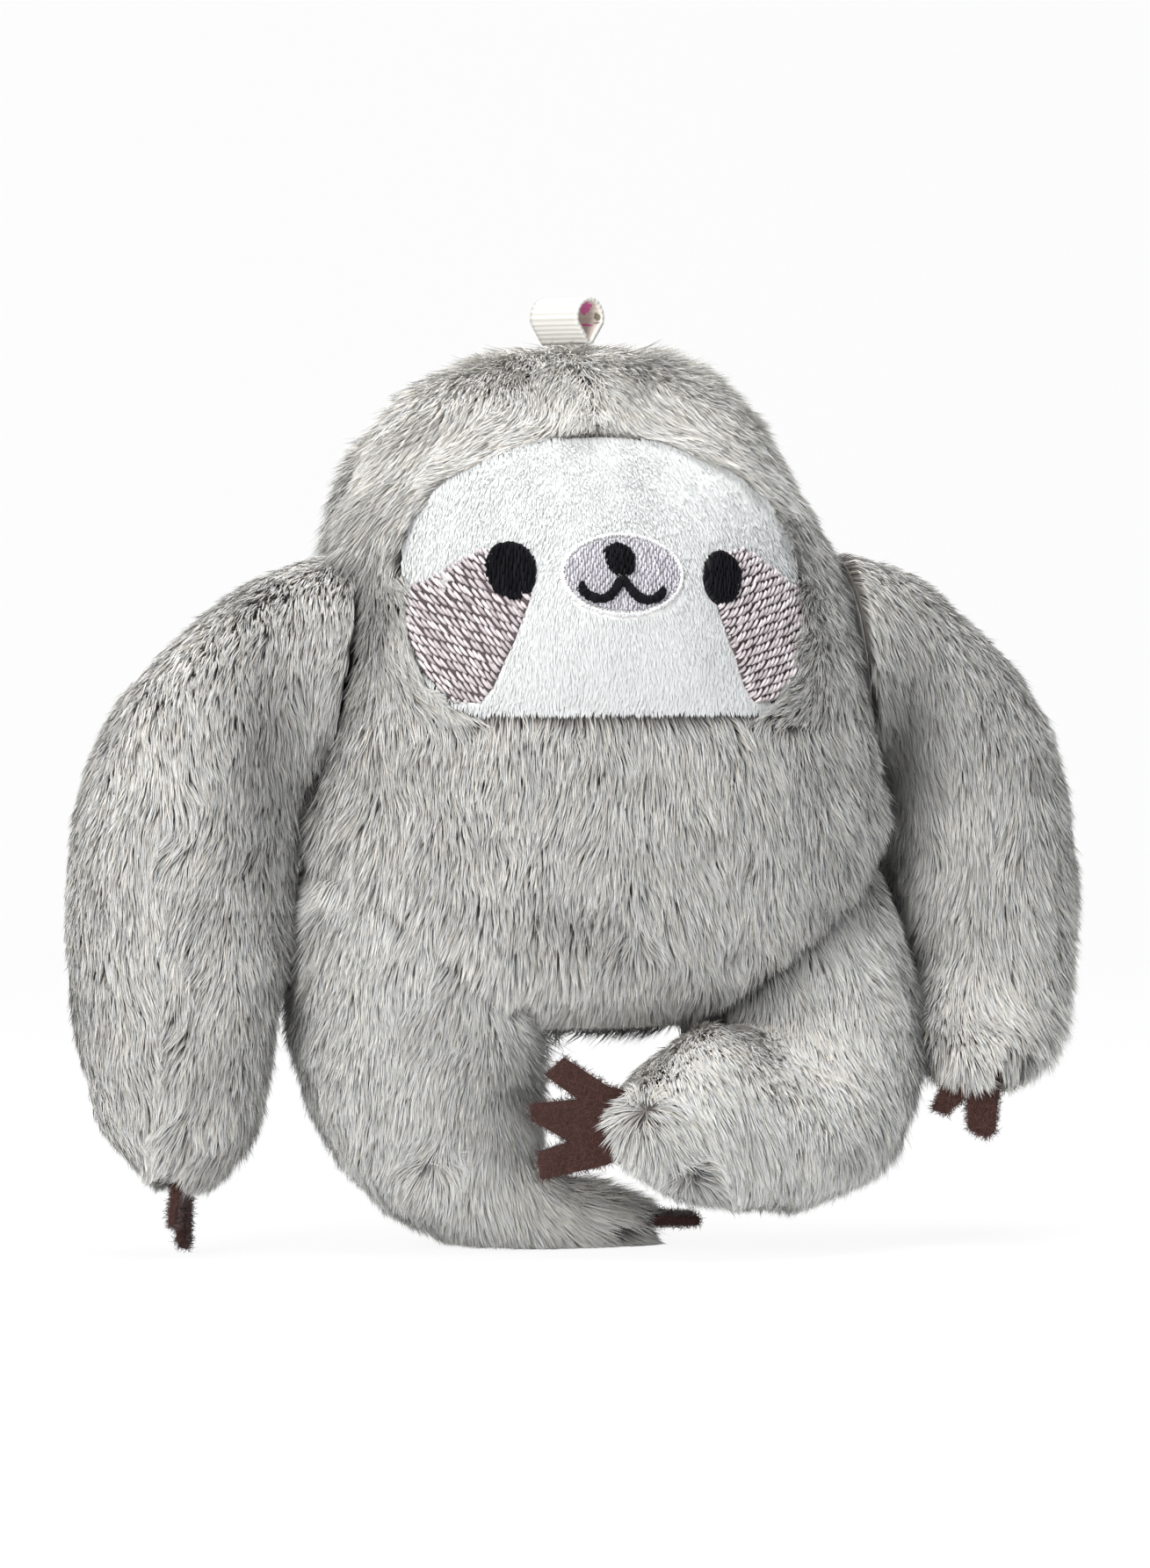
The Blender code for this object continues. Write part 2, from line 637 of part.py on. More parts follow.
# Ribbon loop: a strip folded back on itself, whose fold turns on the crown's seam
crown_z = BODY_BOTTOM + BODY_HEIGHT
ribbon_axis = Vector((math.cos(RIBBON_TURN), math.sin(RIBBON_TURN), 0))
ribbon_across = Vector((-ribbon_axis.y, ribbon_axis.x, 0))
ribbon_root = Vector((RIBBON_X, RIBBON_Y, crown_z + HALF_GAP + GAP + RIBBON_FOLD_RADIUS))


def ribbon_place(a, b, along):
    return ribbon_root + ribbon_across * a + Vector((0, 0, b)) + ribbon_axis * along


def drop_outline(top_radius, top_height, low_radius, low_height):
    """Two circles one over the other, wrapped by their common tangents."""
    lean = math.asin((top_radius - low_radius) / (top_height - low_height))
    points = []
    for t in fan(-lean, math.pi + lean, RIBBON_ARC_STEPS):
        points.append((top_radius * math.cos(t), top_height + top_radius * math.sin(t)))
    for t in fan(math.pi + lean, 2 * math.pi - lean, RIBBON_ARC_STEPS // 2):
        points.append((low_radius * math.cos(t), low_height + low_radius * math.sin(t)))
    return points


ribbon_outer, ribbon_inner = [
    drop_outline(RIBBON_LOOP_RADIUS - inset, RIBBON_LOOP_HEIGHT, RIBBON_FOLD_RADIUS - inset, 0)
    for inset in (0, RIBBON_THICKNESS)
]
ribbon_rows = [
    [ribbon_place(a, b, along) for a, b in outline]
    for outline, along in (
        (ribbon_outer, -RIBBON_WIDTH / 2), (ribbon_outer, RIBBON_WIDTH / 2),
        (ribbon_inner, RIBBON_WIDTH / 2), (ribbon_inner, -RIBBON_WIDTH / 2),
    )
]
ribbon_loop = panel("ribbon_loop", ribbon_rows[:2], ribbon_rows[:1:-1], RIBBON, closed=True)


# Limbs, whose sections are all as deep as the toy: each ring's depth runs from front to back
BACKWARD = Vector((0, 1, 0))


def limb_frames(side, seam, root_half_width, half_depth, reach, drop, forward, shares):
    """Each row's centre, its unit width axis, its half sizes and the way the limb runs."""
    middle, root = seam
    outward = root.cross(BACKWARD) * side
    rows = [(middle + root * GAP, outward * root_half_width, half_depth)]
    for out, out_drop, inner, inner_drop, ahead, deep in shares:
        outer_edge = middle + Vector((side * reach * out, -forward * ahead, -drop * out_drop))
        inner_edge = middle + Vector((side * reach * inner, -forward * ahead, -drop * inner_drop))
        rows.append(((outer_edge + inner_edge) / 2, (outer_edge - inner_edge) / 2, half_depth * deep))
    frames = []
    for k, (centre, half, thick) in enumerate(rows):
        after = rows[min(k + 1, len(rows) - 1)][0]
        along = root if k == 0 else (after - rows[k - 1][0]).normalized()
        frames.append((centre, half.normalized(), half.length, thick, along))
    return frames


def section(turn):
    """A point of the limbs' section on a unit scale."""
    across, deep = math.cos(turn), math.sin(turn)
    power = 2 / LIMB_SECTION_POWER
    return math.copysign(abs(across) ** power, across), math.copysign(abs(deep) ** power, deep)


def limb_rows(frames, turns, depth, wide_shift=0, deep_shift=0):
    """Rows of points at a depth under the limb's surface; the wall thins where the limb is slender."""
    rows = []
    for centre, wide, half, thick, along in frames:
        middle = centre + wide * wide_shift + BACKWARD * deep_shift
        if not half:
            rows.append([middle - along * depth])
            continue
        inset = depth * min(1, min(half, thick) / (PILE_THICKNESS + PILE_THICKNESS))
        ring = []
        for turn in turns:
            across, deep = section(turn)
            ring.append(middle + wide * (half - inset) * across + BACKWARD * (thick - inset) * deep)
        rows.append(ring)
    return rows


def half_sleeve(name, frames, start, wide_shift, deep_shift):
    """One of the two sewn halves of a limb's cover, over half a turn from its start."""
    turns = fan(start, start + math.pi, 2 * LIMB_QUARTER_STEPS)
    outer = limb_rows(frames, turns, 0, wide_shift, deep_shift)
    inner = limb_rows(frames, turns, PILE_THICKNESS, wide_shift, deep_shift)
    return panel(name, outer, inner, PILE)


def limb_stuffing(name, frames):
    turns = fan(0, 2 * math.pi, 4 * LIMB_QUARTER_STEPS)[:-1]
    return closed_form(name, limb_rows(frames, turns, PILE_THICKNESS + GAP), FIBRE)


def claw_parts(name, length, claw_shares, root_half_share, origin, across, outward):
    """The felt claws, whose root reaches into the limb's end, and a cutter for the root's slot."""
    thick = across.cross(outward)

    def place(a, b, along):
        return origin + across * a + outward * b + thick * along

    root = length * CLAW_ROOT_SHARE
    half = length * root_half_share
    outline = [(length * a, length * b) for a, b in claw_shares]
    side = 1 if outline[0][0] < 0 else -1
    outline += [(side * half, -root), (-side * half, -root)]
    claws = prism(name, outline, -FELT_THICKNESS / 2, FELT_THICKNESS / 2, place)
    claws.data.materials.append(FELT)
    slot_half = max(abs(a) for a, _ in outline) + GAP
    slot_end = -root - GAP
    slot = [(-slot_half, slot_end), (slot_half, slot_end), (slot_half, length), (-slot_half, length)]
    slot_half_thickness = FELT_THICKNESS / 2 + GAP
    return claws, prism("cutter", slot, -slot_half_thickness, slot_half_thickness, place)


limb_pieces = {}
LEFT_ARM = (LEFT_ARM_REACH, LEFT_ARM_DROP, LEFT_ARM_CURL, LEFT_ARM_SHARES)
RIGHT_ARM = (RIGHT_ARM_REACH, RIGHT_ARM_DROP, RIGHT_ARM_CURL, RIGHT_ARM_SHARES)
LEFT_LEG = (LEFT_LEG_REACH, LEFT_LEG_DROP, -LEFT_LEG_BACK, LEFT_LEG_SHARES)
RIGHT_LEG = (RIGHT_LEG_REACH, RIGHT_LEG_DROP, RIGHT_LEG_FORWARD, RIGHT_LEG_SHARES)

for side, word, sizes in ((-1, "left", LEFT_ARM), (1, "right", RIGHT_ARM)):
    frames = limb_frames(side, shoulder_plane(side), ARM_ROOT_HALF_WIDTH, ARM_HALF_DEPTH, *sizes)
    quarter = math.pi / 2
    outer = half_sleeve(word + "_arm_outer_panel", frames, -quarter, HALF_GAP, 0)
    inner = half_sleeve(word + "_arm_inner_panel", frames, quarter, -HALF_GAP, 0)
    stuffing = limb_stuffing(word + "_arm_stuffing", frames)
    outward = Vector((0, 0, -1))
    turn = LEFT_HAND_TURN if side < 0 else -RIGHT_HAND_TURN
    across = Vector((math.cos(turn), math.sin(turn), 0))
    claws, slot = claw_parts(
        word + "_hand_claws", HAND_CLAW_LENGTH, HAND_CLAW_SHARES, HAND_ROOT_HALF_SHARE,
        frames[-1][0] - outward * HAND_CLAW_INSET, across, outward,
    )
    for piece in (inner, outer, stuffing):
        cut(piece, slot, "DIFFERENCE", keep=True)
    bpy.data.objects.remove(slot, do_unlink=True)
    limb_pieces["shoulder_" + word] = [inner, outer, stuffing, claws]

for side, word, sizes in ((-1, "left", LEFT_LEG), (1, "right", RIGHT_LEG)):
    frames = limb_frames(side, hip_plane(side), LEG_ROOT_HALF_WIDTH, LEG_HALF_DEPTH, *sizes)
    front = half_sleeve(word + "_leg_front_panel", frames, math.pi, 0, -HALF_GAP)
    back = half_sleeve(word + "_leg_back_panel", frames, 0, 0, HALF_GAP)
    stuffing = limb_stuffing(word + "_leg_stuffing", frames)
    if side < 0:
        ground = half_space(Vector(), Vector((0, 0, -1)))
        cut(front, ground, "DIFFERENCE", keep=True)
        cut(back, ground, "DIFFERENCE")
    toe = frames[-1][0]
    outward = Vector((-side, 0, 0))
    across = BACKWARD if side < 0 else Vector((0, 0, 1))
    inset = LEFT_FOOT_CLAW_INSET if side < 0 else RIGHT_FOOT_CLAW_INSET
    claws, slot = claw_parts(
        word + "_foot_claws", FOOT_CLAW_LENGTH, FOOT_CLAW_SHARES, FOOT_ROOT_HALF_SHARE,
        toe - outward * inset, across, outward,
    )
    for piece in (front, back, stuffing):
        cut(piece, slot, "DIFFERENCE", keep=True)
    bpy.data.objects.remove(slot, do_unlink=True)
    limb_pieces["hip_" + word] = [front, back, stuffing, claws]

# Each moving piece hangs on an empty that sits on its joint, and the toy on one under its middle
toy = bpy.data.objects.new("toy", None)
bpy.context.collection.objects.link(toy)
joints = {
    "shoulder_left": shoulder_plane(-1)[0],
    "shoulder_right": shoulder_plane(1)[0],
    "hip_left": hip_plane(-1)[0],
    "hip_right": hip_plane(1)[0],
    "ribbon_flop": ribbon_root,
}
limb_pieces["ribbon_flop"] = [ribbon_loop]
for name, place in joints.items():
    pivot = bpy.data.objects.new(name, None)
    bpy.context.collection.objects.link(pivot)
    pivot.location = place
    pivot.parent = toy
    for piece in limb_pieces[name]:
        piece.parent = pivot
        piece.matrix_parent_inverse = Matrix.Translation(-place)
for made in bpy.data.objects:
    if made.type == "MESH":
        made.data.shade_smooth()
        made.data.set_sharp_from_angle(angle=SHARP_EDGE_ANGLE)
        if not made.parent:
            made.parent = toy
toy.location = (ORIGIN_SHIFT_X, ORIGIN_SHIFT_Y, 0)
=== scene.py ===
"""Looks of the plush sloth: grey pile over stuffed forms, a smooth white face with stitched features,
felt claws and a ribbed ribbon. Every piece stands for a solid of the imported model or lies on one.
The toy faces -Y, and left and right are those of someone who looks at its face."""
import math

import bpy
import numpy as np
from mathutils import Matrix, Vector
from mathutils.bvhtree import BVHTree
from mathutils.kdtree import KDTree


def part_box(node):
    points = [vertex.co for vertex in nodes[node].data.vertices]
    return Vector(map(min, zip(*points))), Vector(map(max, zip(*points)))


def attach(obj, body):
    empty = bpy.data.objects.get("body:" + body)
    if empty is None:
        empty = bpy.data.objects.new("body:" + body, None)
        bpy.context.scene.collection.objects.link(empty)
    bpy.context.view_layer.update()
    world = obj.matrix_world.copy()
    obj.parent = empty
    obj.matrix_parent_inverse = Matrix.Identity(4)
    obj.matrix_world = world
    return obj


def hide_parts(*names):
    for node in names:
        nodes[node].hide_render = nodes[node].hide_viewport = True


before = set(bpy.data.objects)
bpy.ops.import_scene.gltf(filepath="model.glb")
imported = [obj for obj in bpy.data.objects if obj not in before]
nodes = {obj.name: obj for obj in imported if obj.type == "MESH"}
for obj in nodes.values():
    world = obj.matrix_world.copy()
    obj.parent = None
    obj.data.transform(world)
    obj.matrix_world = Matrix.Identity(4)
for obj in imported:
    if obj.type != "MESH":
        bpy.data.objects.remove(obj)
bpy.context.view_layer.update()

# The body and head are one stuffed form in long grey pile, sewn from a chest, a back and two hood
# panels. Each cover is a thin closed sheet that carries its own strands, which lie downward, part
# along the crown's seam and spread from the point where the belly is gathered.
PILE_ROOT = (0.085, 0.077, 0.071)
PILE_TIP = (0.63, 0.625, 0.60)
PILE_WIDTH = 0.00019
BODY_PILE = 0.0049
HOOD_PILE = 0.0047
ROOT_LEAN, TIP_LEAN, FLATTEST_LEAN = 0.80, 1.20, 1.5
STRANDS_IN_CLUMP = 6
CLUMPING = 0.5
# How far a cover's outer side is drawn in toward the stuffing, to leave room for its pile
DRAWN_IN = 0.5
# The opening for the face: its middle, its widest line, and its reach from there, up and down
FACE_X = -0.00075
FACE_LINE = 0.09659
FACE_HALF_WIDTH = 0.029
FACE_DOME = 0.019
FACE_JAW = 0.020
FACE_CHIN_HALF_WIDTH = 0.021
JAW_ACROSS = (0.0, 0.35, 0.64, 0.85, 0.95, 0.99, 1.0)
JAW_UP = (0.0, 0.1, 0.23, 0.39, 0.57, 0.78, 1.0)


def unit(vectors):
    return vectors / np.maximum(np.linalg.norm(vectors, axis=-1, keepdims=True), 1e-9)


def dot(a, b):
    return (a * b).sum(-1, keepdims=True)


def ripple(points, scale, seed):
    """Smooth random numbers, mostly from -1 to 1, one for each point."""
    rng = np.random.default_rng(seed)
    waves = rng.normal(size=(3, 9)) / scale
    return np.sin(points @ waves + rng.random(9) * 6.28).sum(1) / 3


def ripples(points, scale, seed):
    return np.stack([ripple(points, scale, seed + k) for k in range(3)], 1)


def triangles_of(piece):
    mesh = piece.data
    mesh.calc_loop_triangles()
    points = np.empty(len(mesh.vertices) * 3)
    mesh.vertices.foreach_get("co", points)
    corners = np.empty(len(mesh.loop_triangles) * 3, int)
    mesh.loop_triangles.foreach_get("vertices", corners)
    return points.reshape(-1, 3), corners.reshape(-1, 3)


def tree_of(piece):
    points, corners = triangles_of(piece)
    return BVHTree.FromPolygons(points.tolist(), corners.tolist())


def mesh_of(name, points, corners, normals, colours, finishes, finish_index=None):
    """A smooth mesh from arrays, with its own normals and one colour at each point."""
    mesh = bpy.data.meshes.new(name)
    mesh.vertices.add(len(points))
    mesh.vertices.foreach_set("co", points.astype(np.float32).ravel())
    mesh.loops.add(len(corners) * 3)
    mesh.loops.foreach_set("vertex_index", corners.astype(np.int32).ravel())
    mesh.polygons.add(len(corners))
    mesh.polygons.foreach_set("loop_start", np.arange(0, len(corners) * 3, 3, dtype=np.int32))
    mesh.update(calc_edges=True)
    mesh.shade_smooth()
    if normals is not None:
        mesh.normals_split_custom_set_from_vertices(normals.astype(np.float32))
    if colours is not None:
        paint = mesh.color_attributes.new("thread_colour", "FLOAT_COLOR", "POINT")
        paint.data.foreach_set("color", np.c_[colours, np.ones(len(points))].astype(np.float32).ravel())
    for finish in finishes:
        mesh.materials.append(finish)
    if finish_index is not None:
        mesh.polygons.foreach_set("material_index", finish_index.astype(np.int32))
    made = bpy.data.objects.new(name, mesh)
    bpy.context.scene.collection.objects.link(made)
    return made


def outer_surface(names, core):
    """The outward triangles of a form's panels and their smooth corner normals, by panel name."""
    found = {}
    for name in names:
        points, corners = triangles_of(nodes[name])
        tri = points[corners]
        across = np.cross(tri[:, 1] - tri[:, 0], tri[:, 2] - tri[:, 0])
        normals, middles = unit(across), tri.mean(1)
        keep = []
        for middle, normal in zip(middles, normals):
            away = Vector(middle) - core.find_nearest(Vector(middle))[0]
            keep.append(away.length > 1e-5 and away.normalized().dot(Vector(normal)) > 0.35)
        keep = np.array(keep)
        found[name] = (tri[keep], across[keep])
    points = np.concatenate([tri.reshape(-1, 3) for tri, _ in found.values()])
    spread = np.concatenate([np.repeat(across, 3, axis=0) for _, across in found.values()])
    single, place = np.unique(np.round(points, 6), axis=0, return_inverse=True)
    sums = np.zeros_like(single)
    np.add.at(sums, place.ravel(), spread)
    near = KDTree(len(single))
    for k, point in enumerate(single):
        near.insert(point, k)
    near.balance()
    smooth = np.array([sum(sums[k] for _, k, _ in near.find_range(point, 0.0006)) for point in single])
    smooth = unit(smooth)[place.ravel()].reshape(-1, 3, 3)
    surface, start = {}, 0
    for name, (tri, _) in found.items():
        surface[name] = (tri, smooth[start:start + len(tri)])
        start += len(tri)
    return surface


def scatter(tri, normals, count, rng):
    """Random points on a surface, rounded between its facets, and the normals there."""
    area = np.linalg.norm(np.cross(tri[:, 1] - tri[:, 0], tri[:, 2] - tri[:, 0]), axis=1)
    pick = rng.choice(len(tri), count, p=area / area.sum())
    u, v = rng.random(count), rng.random(count)
    over = u + v > 1
    u[over], v[over] = 1 - u[over], 1 - v[over]
    share = np.stack([1 - u - v, u, v], 1)[:, :, None]
    flat = (tri[pick] * share).sum(1)
    normal = unit((normals[pick] * share).sum(1))
    lifted = np.zeros_like(flat)
    for k in range(3):
        corner_normal = normals[pick, k]
        lifted += (flat - corner_normal * dot(flat - tri[pick, k], corner_normal)) * share[:, k]
    return flat + 0.7 * (lifted - flat), normal


def clump_leaders(roots, per_clump, rng):
    """For each strand the number of the strand that leads its clump."""
    seeds = rng.choice(len(roots), max(1, len(roots) // per_clump), replace=False)
    near = KDTree(len(seeds))
    for k, seed in enumerate(seeds):
        near.insert(roots[seed], k)
    near.balance()
    return seeds[[near.find(root)[1] for root in roots]]


def strand_paths(roots, normals, comb, length, lean, leader, clump, rng):
    """Each strand's root, bend and tip: it bends over toward the comb's way and to its clump."""
    along = unit(comb - normals * dot(comb, normals))
    points = [roots]
    for k, share in enumerate((0.46, 0.54)):
        angle = lean[:, k:k + 1]
        step = normals * np.cos(angle) + along * np.sin(angle)
        points.append(points[-1] + step * (length * share)[:, None])
    path = np.stack(points, 1)
    path = path + (path[leader] - path) * (clump * np.array([0, 0.45, 1.0]))[None, :, None]
    path[:, 2] += rng.normal(size=(len(roots), 3)) * (length * 0.03)[:, None]
    return path


def strand_mesh(name, path, normals, width, root_colour, tip_colour, finish, rng):
    """Thin tapering blades along the paths, shaded mostly by the form that they grow on."""
    count = len(path)
    way = unit(path[:, -1] - path[:, 0])
    side = unit(np.cross(normals, way))
    turn = (rng.random((count, 1)) - 0.5) * 1.7
    side = side * np.cos(turn) + np.cross(way, side) * np.sin(turn)
    blade = unit(np.cross(way, side))
    half = side * (width / 2)[:, None]
    points = np.stack([
        path[:, 0] - half * 0.8, path[:, 0] + half * 0.8, path[:, 1] - half, path[:, 1] + half, path[:, 2],
    ], 1)
    corners = np.array([(0, 2, 1), (1, 2, 3), (2, 4, 3)])
    corners = (corners[None] + 5 * np.arange(count)[:, None, None]).reshape(-1, 3)
    shading = unit(normals * 0.7 + blade * 0.3)
    shading = np.repeat(shading[:, None], 5, axis=1).reshape(-1, 3)
    toward_tip = np.array([0, 0, 0.5, 0.5, 1.0])[None, :, None]
    colours = root_colour[:, None] * (1 - toward_tip) + tip_colour[:, None] * toward_tip
    return mesh_of(name, points.reshape(-1, 3), corners, shading, colours.reshape(-1, 3), [finish])


def inside_face(x, z, margin):
    """Whether points, as seen from the front, lie inside the face's outline less a margin."""
    up = np.clip((z - FACE_LINE + FACE_JAW) / FACE_JAW, 0, 1)
    jaw = FACE_CHIN_HALF_WIDTH + (FACE_HALF_WIDTH - FACE_CHIN_HALF_WIDTH) * np.interp(up, JAW_UP, JAW_ACROSS)
    dome = np.clip(1 - ((z - FACE_LINE) / (FACE_DOME - margin)) ** 2, 0, 1) ** 0.5 * FACE_HALF_WIDTH
    half = np.where(z > FACE_LINE, dome, jaw) - margin
    return (np.abs(x - FACE_X) < half) & (z > FACE_LINE - FACE_JAW + margin)


def from_star(flow, points, centre, radius, strength):
    """Turns a flow outward round a gathered point of the cover."""
    away = points - np.array(centre) + ripples(points, 0.003, 7) * radius * 0.25
    weight = strength * np.exp(-(np.linalg.norm(away, axis=1, keepdims=True) / radius) ** 2)
    return unit(flow) * (1 - weight) + unit(away) * weight


def plain_maths(name):
    def apply(self, other):
        return self.made(name, self, other)
    return apply


class Value:
    """A number in a material's nodes, which adds, multiplies and so on as plain numbers do."""

    def __init__(self, tree, socket):
        self.tree, self.socket = tree, socket

    def made(self, operation, *terms):
        node = add_node(self.tree, "ShaderNodeMath", {"operation": operation})
        for k, term in enumerate(terms):
            link_to(self.tree, term, node.inputs[k])
        return Value(self.tree, node.outputs[0])

    __add__ = plain_maths("ADD")
    __radd__ = plain_maths("ADD")
    __sub__ = plain_maths("SUBTRACT")
    __mul__ = plain_maths("MULTIPLY")
    __rmul__ = plain_maths("MULTIPLY")
    __truediv__ = plain_maths("DIVIDE")

    def __rsub__(self, other):
        return self.made("SUBTRACT", other, self)


def link_to(tree, value, socket):
    """Feeds a socket with a Value, another socket, a colour or a number."""
    if isinstance(value, Value):
        tree.links.new(value.socket, socket)
    elif isinstance(value, bpy.types.NodeSocket):
        tree.links.new(value, socket)
    elif isinstance(value, tuple):
        socket.default_value = (*value, 1)
    else:
        socket.default_value = value


def add_node(tree, kind, settings=None, **sockets):
    """A node of a kind: its settings come first, then the values or links of its sockets."""
    node = tree.nodes.new(kind)
    for key, value in (settings or {}).items():
        setattr(node, key, value)
    for key, value in sockets.items():
        link_to(tree, value, node.inputs[key])
    return node


def new_material(name, roughness):
    made = bpy.data.materials.new(name)
    made.use_nodes = True
    shader = made.node_tree.nodes["Principled BSDF"]
    shader.inputs["Roughness"].default_value = roughness
    return made.node_tree, shader, made


def noise_value(tree, scale, detail=2.0, rough=0.5):
    place = add_node(tree, "ShaderNodeTexCoord")
    noise = add_node(
        tree, "ShaderNodeTexNoise", Vector=place.outputs["Object"], Scale=scale, Detail=detail, Roughness=rough,
    )
    return Value(tree, noise.outputs["Fac"])


def carried_colour(tree):
    """The colour that each strand or thread carries with it."""
    return add_node(tree, "ShaderNodeAttribute", {"attribute_name": "thread_colour"}).outputs["Color"]


def mixed(tree, factor, low, high, blend="MIX"):
    """A colour between two, which are colours or sockets."""
    node = add_node(tree, "ShaderNodeMix", {"data_type": "RGBA", "blend_type": blend})
    for key, value in (("Factor_Float", factor), ("A_Color", low), ("B_Color", high)):
        link_to(tree, value, next(s for s in node.inputs if s.identifier == key))
    return next(s for s in node.outputs if s.identifier == "Result_Color")


def bump(tree, shader, height, strength, distance):
    node = add_node(tree, "ShaderNodeBump", Strength=strength, Distance=distance, Height=height)
    link_to(tree, node.outputs["Normal"], shader.inputs["Normal"])


def strand_material(name, roughness, uneven, patch_scale, sheen):
    """Fibres: the colour that each strand carries, a little uneven over the form."""
    tree, shader, made = new_material(name, roughness)
    shade = noise_value(tree, patch_scale, 3.0) * uneven + (1 - uneven / 2)
    grey = add_node(tree, "ShaderNodeCombineColor", Red=shade, Green=shade, Blue=shade)
    link_to(tree, mixed(tree, 1.0, carried_colour(tree), grey.outputs[0], "MULTIPLY"), shader.inputs["Base Color"])
    link_to(tree, noise_value(tree, patch_scale * 3) * 0.2 + (roughness - 0.1), shader.inputs["Roughness"])
    shader.inputs["Sheen Weight"].default_value = sheen
    shader.inputs["Sheen Roughness"].default_value = 0.5
    return made


def backing_material(name, low, high, scale):
    """The knitted ground under a pile, which only shows as shade between the strands."""
    tree, shader, made = new_material(name, 0.95)
    grain = noise_value(tree, scale, 4.0, 0.6)
    link_to(tree, mixed(tree, grain, low, high), shader.inputs["Base Color"])
    bump(tree, shader, grain, 0.6, 0.0004)
    return made


pile = strand_material("grey_pile", 0.75, 0.22, 90.0, 0.12)
pile_backing = backing_material("pile_backing", (0.10, 0.09, 0.085), (0.24, 0.22, 0.205), 700.0)


def cover_sheet(node, core, surface, body):
    """The panel's own sheet: its solid, whose outer side is drawn in to leave room for pile."""
    points, corners = triangles_of(nodes[node])
    outer = {tuple(p) for p in np.round(surface[node][0].reshape(-1, 3), 6)}
    moved = points.copy()
    swelling = swell(points, body)
    for k, point in enumerate(points):
        if tuple(np.round(point, 6)) in outer:
            inner = np.array(core.find_nearest(Vector(point))[0])
            moved[k] = point + (inner - point) * DRAWN_IN + swelling[k]
    sheet = mesh_of(node + "_cloth", moved, corners, None, None, [pile_backing])
    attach(sheet, body)
    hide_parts(node)


def close_to(points, place, radius):
    """1 at a place, and less and less away from it."""
    return np.exp(-(np.linalg.norm(points - np.array(place), axis=1) / radius) ** 2)


def laid_pile(points, normals, body):
    """How flat the pile lies, most of all on the shoulders, the crown and the left arm's outer side."""
    upward = np.clip(normals[:, 2], 0, 1)
    laid = {"right_arm": 1, "right_leg": 1.3, "left_leg": 0}.get(body, 0.6) * upward
    if body == "left_arm":
        laid = np.maximum(upward, -1.2 * normals[:, 0] * (points[:, 2] < 0.085))
    return np.clip(laid, 0, 1.3)


def merging_pile(points, body):
    """Where the left thigh and the chest meet and their pile hides the step, from 0 to 1; there the chest's pile is
    also painted lighter, as painted light.
    """
    x, y, z = points.T
    if body == "left_leg":
        return pressed(points, ("body",), 0.0055) * (y < 0.006) * (x < -0.008)
    if body == "body":
        return pressed(points, ("left_leg",), 0.0055) * (y < 0.006) * (z < 0.064)
    return np.zeros(len(points))


def painted_light_pile(points, normals, body):
    """Where the pile is painted lighter down to its roots, as painted light: the head, the right foot's top and the
    left foot's toe.
    """
    if body == "body":
        return 0.8 * np.clip((points[:, 2] - 0.100) / 0.015, 0, 1)
    if body == "left_leg":
        return 2.0 * close_to(points, (0.000, -0.010, 0.010), 0.016)
    return 1.4 * np.clip(normals[:, 2], 0, 1) * (body == "right_leg")


def trim_body_pile(path, height, overhang):
    """Shortens the strands that would hide the face, or the gap between the belly and the right foot."""
    for _ in range(5):
        root, tips = path[:, 0], path[:, -1]
        margin = overhang * np.where(tips[:, 2] > 0.107, 0.3, 1)
        margin = np.where(root[:, 2] < 0.0766, 0.0012, margin + 0.0040 * np.clip((tips[:, 0] - 0.010) / 0.010, 0, 1))
        over = inside_face(tips[:, 0], tips[:, 2], margin) & (tips[:, 1] < 0)
        over &= ~inside_face(root[:, 0], root[:, 2], np.where(height > 0.107, 0.0015, 0.0))
        over |= (tips[:, 1] < 0) & (tips[:, 2] < 0.0312) & (root[:, 2] > 0.0312) & (root[:, 0] > -0.014)
        path[over] = path[over, :1] + (path[over] - path[over, :1]) * 0.66


def painted_crease_shade(points, normals, body):
    """How dark the pile is painted, as painted shade, where another form lies close beside it and on the arms' inner
    sides.
    """
    x, _, z = points.T
    crease_shade = 0.55 * pressed(points, SHADING_NEIGHBOURS[body]) * np.clip(1 - 1.1 * normals[:, 2], 0, 1)
    if body in ARM_PAINTED_SHADE:
        centre_x, centre_z, across, up, depth = ARM_PAINTED_SHADE[body]
        crease_shade = np.maximum(crease_shade, depth * np.exp(-((x - centre_x) / across) ** 2 - ((z - centre_z) / up) ** 2))
    return crease_shade


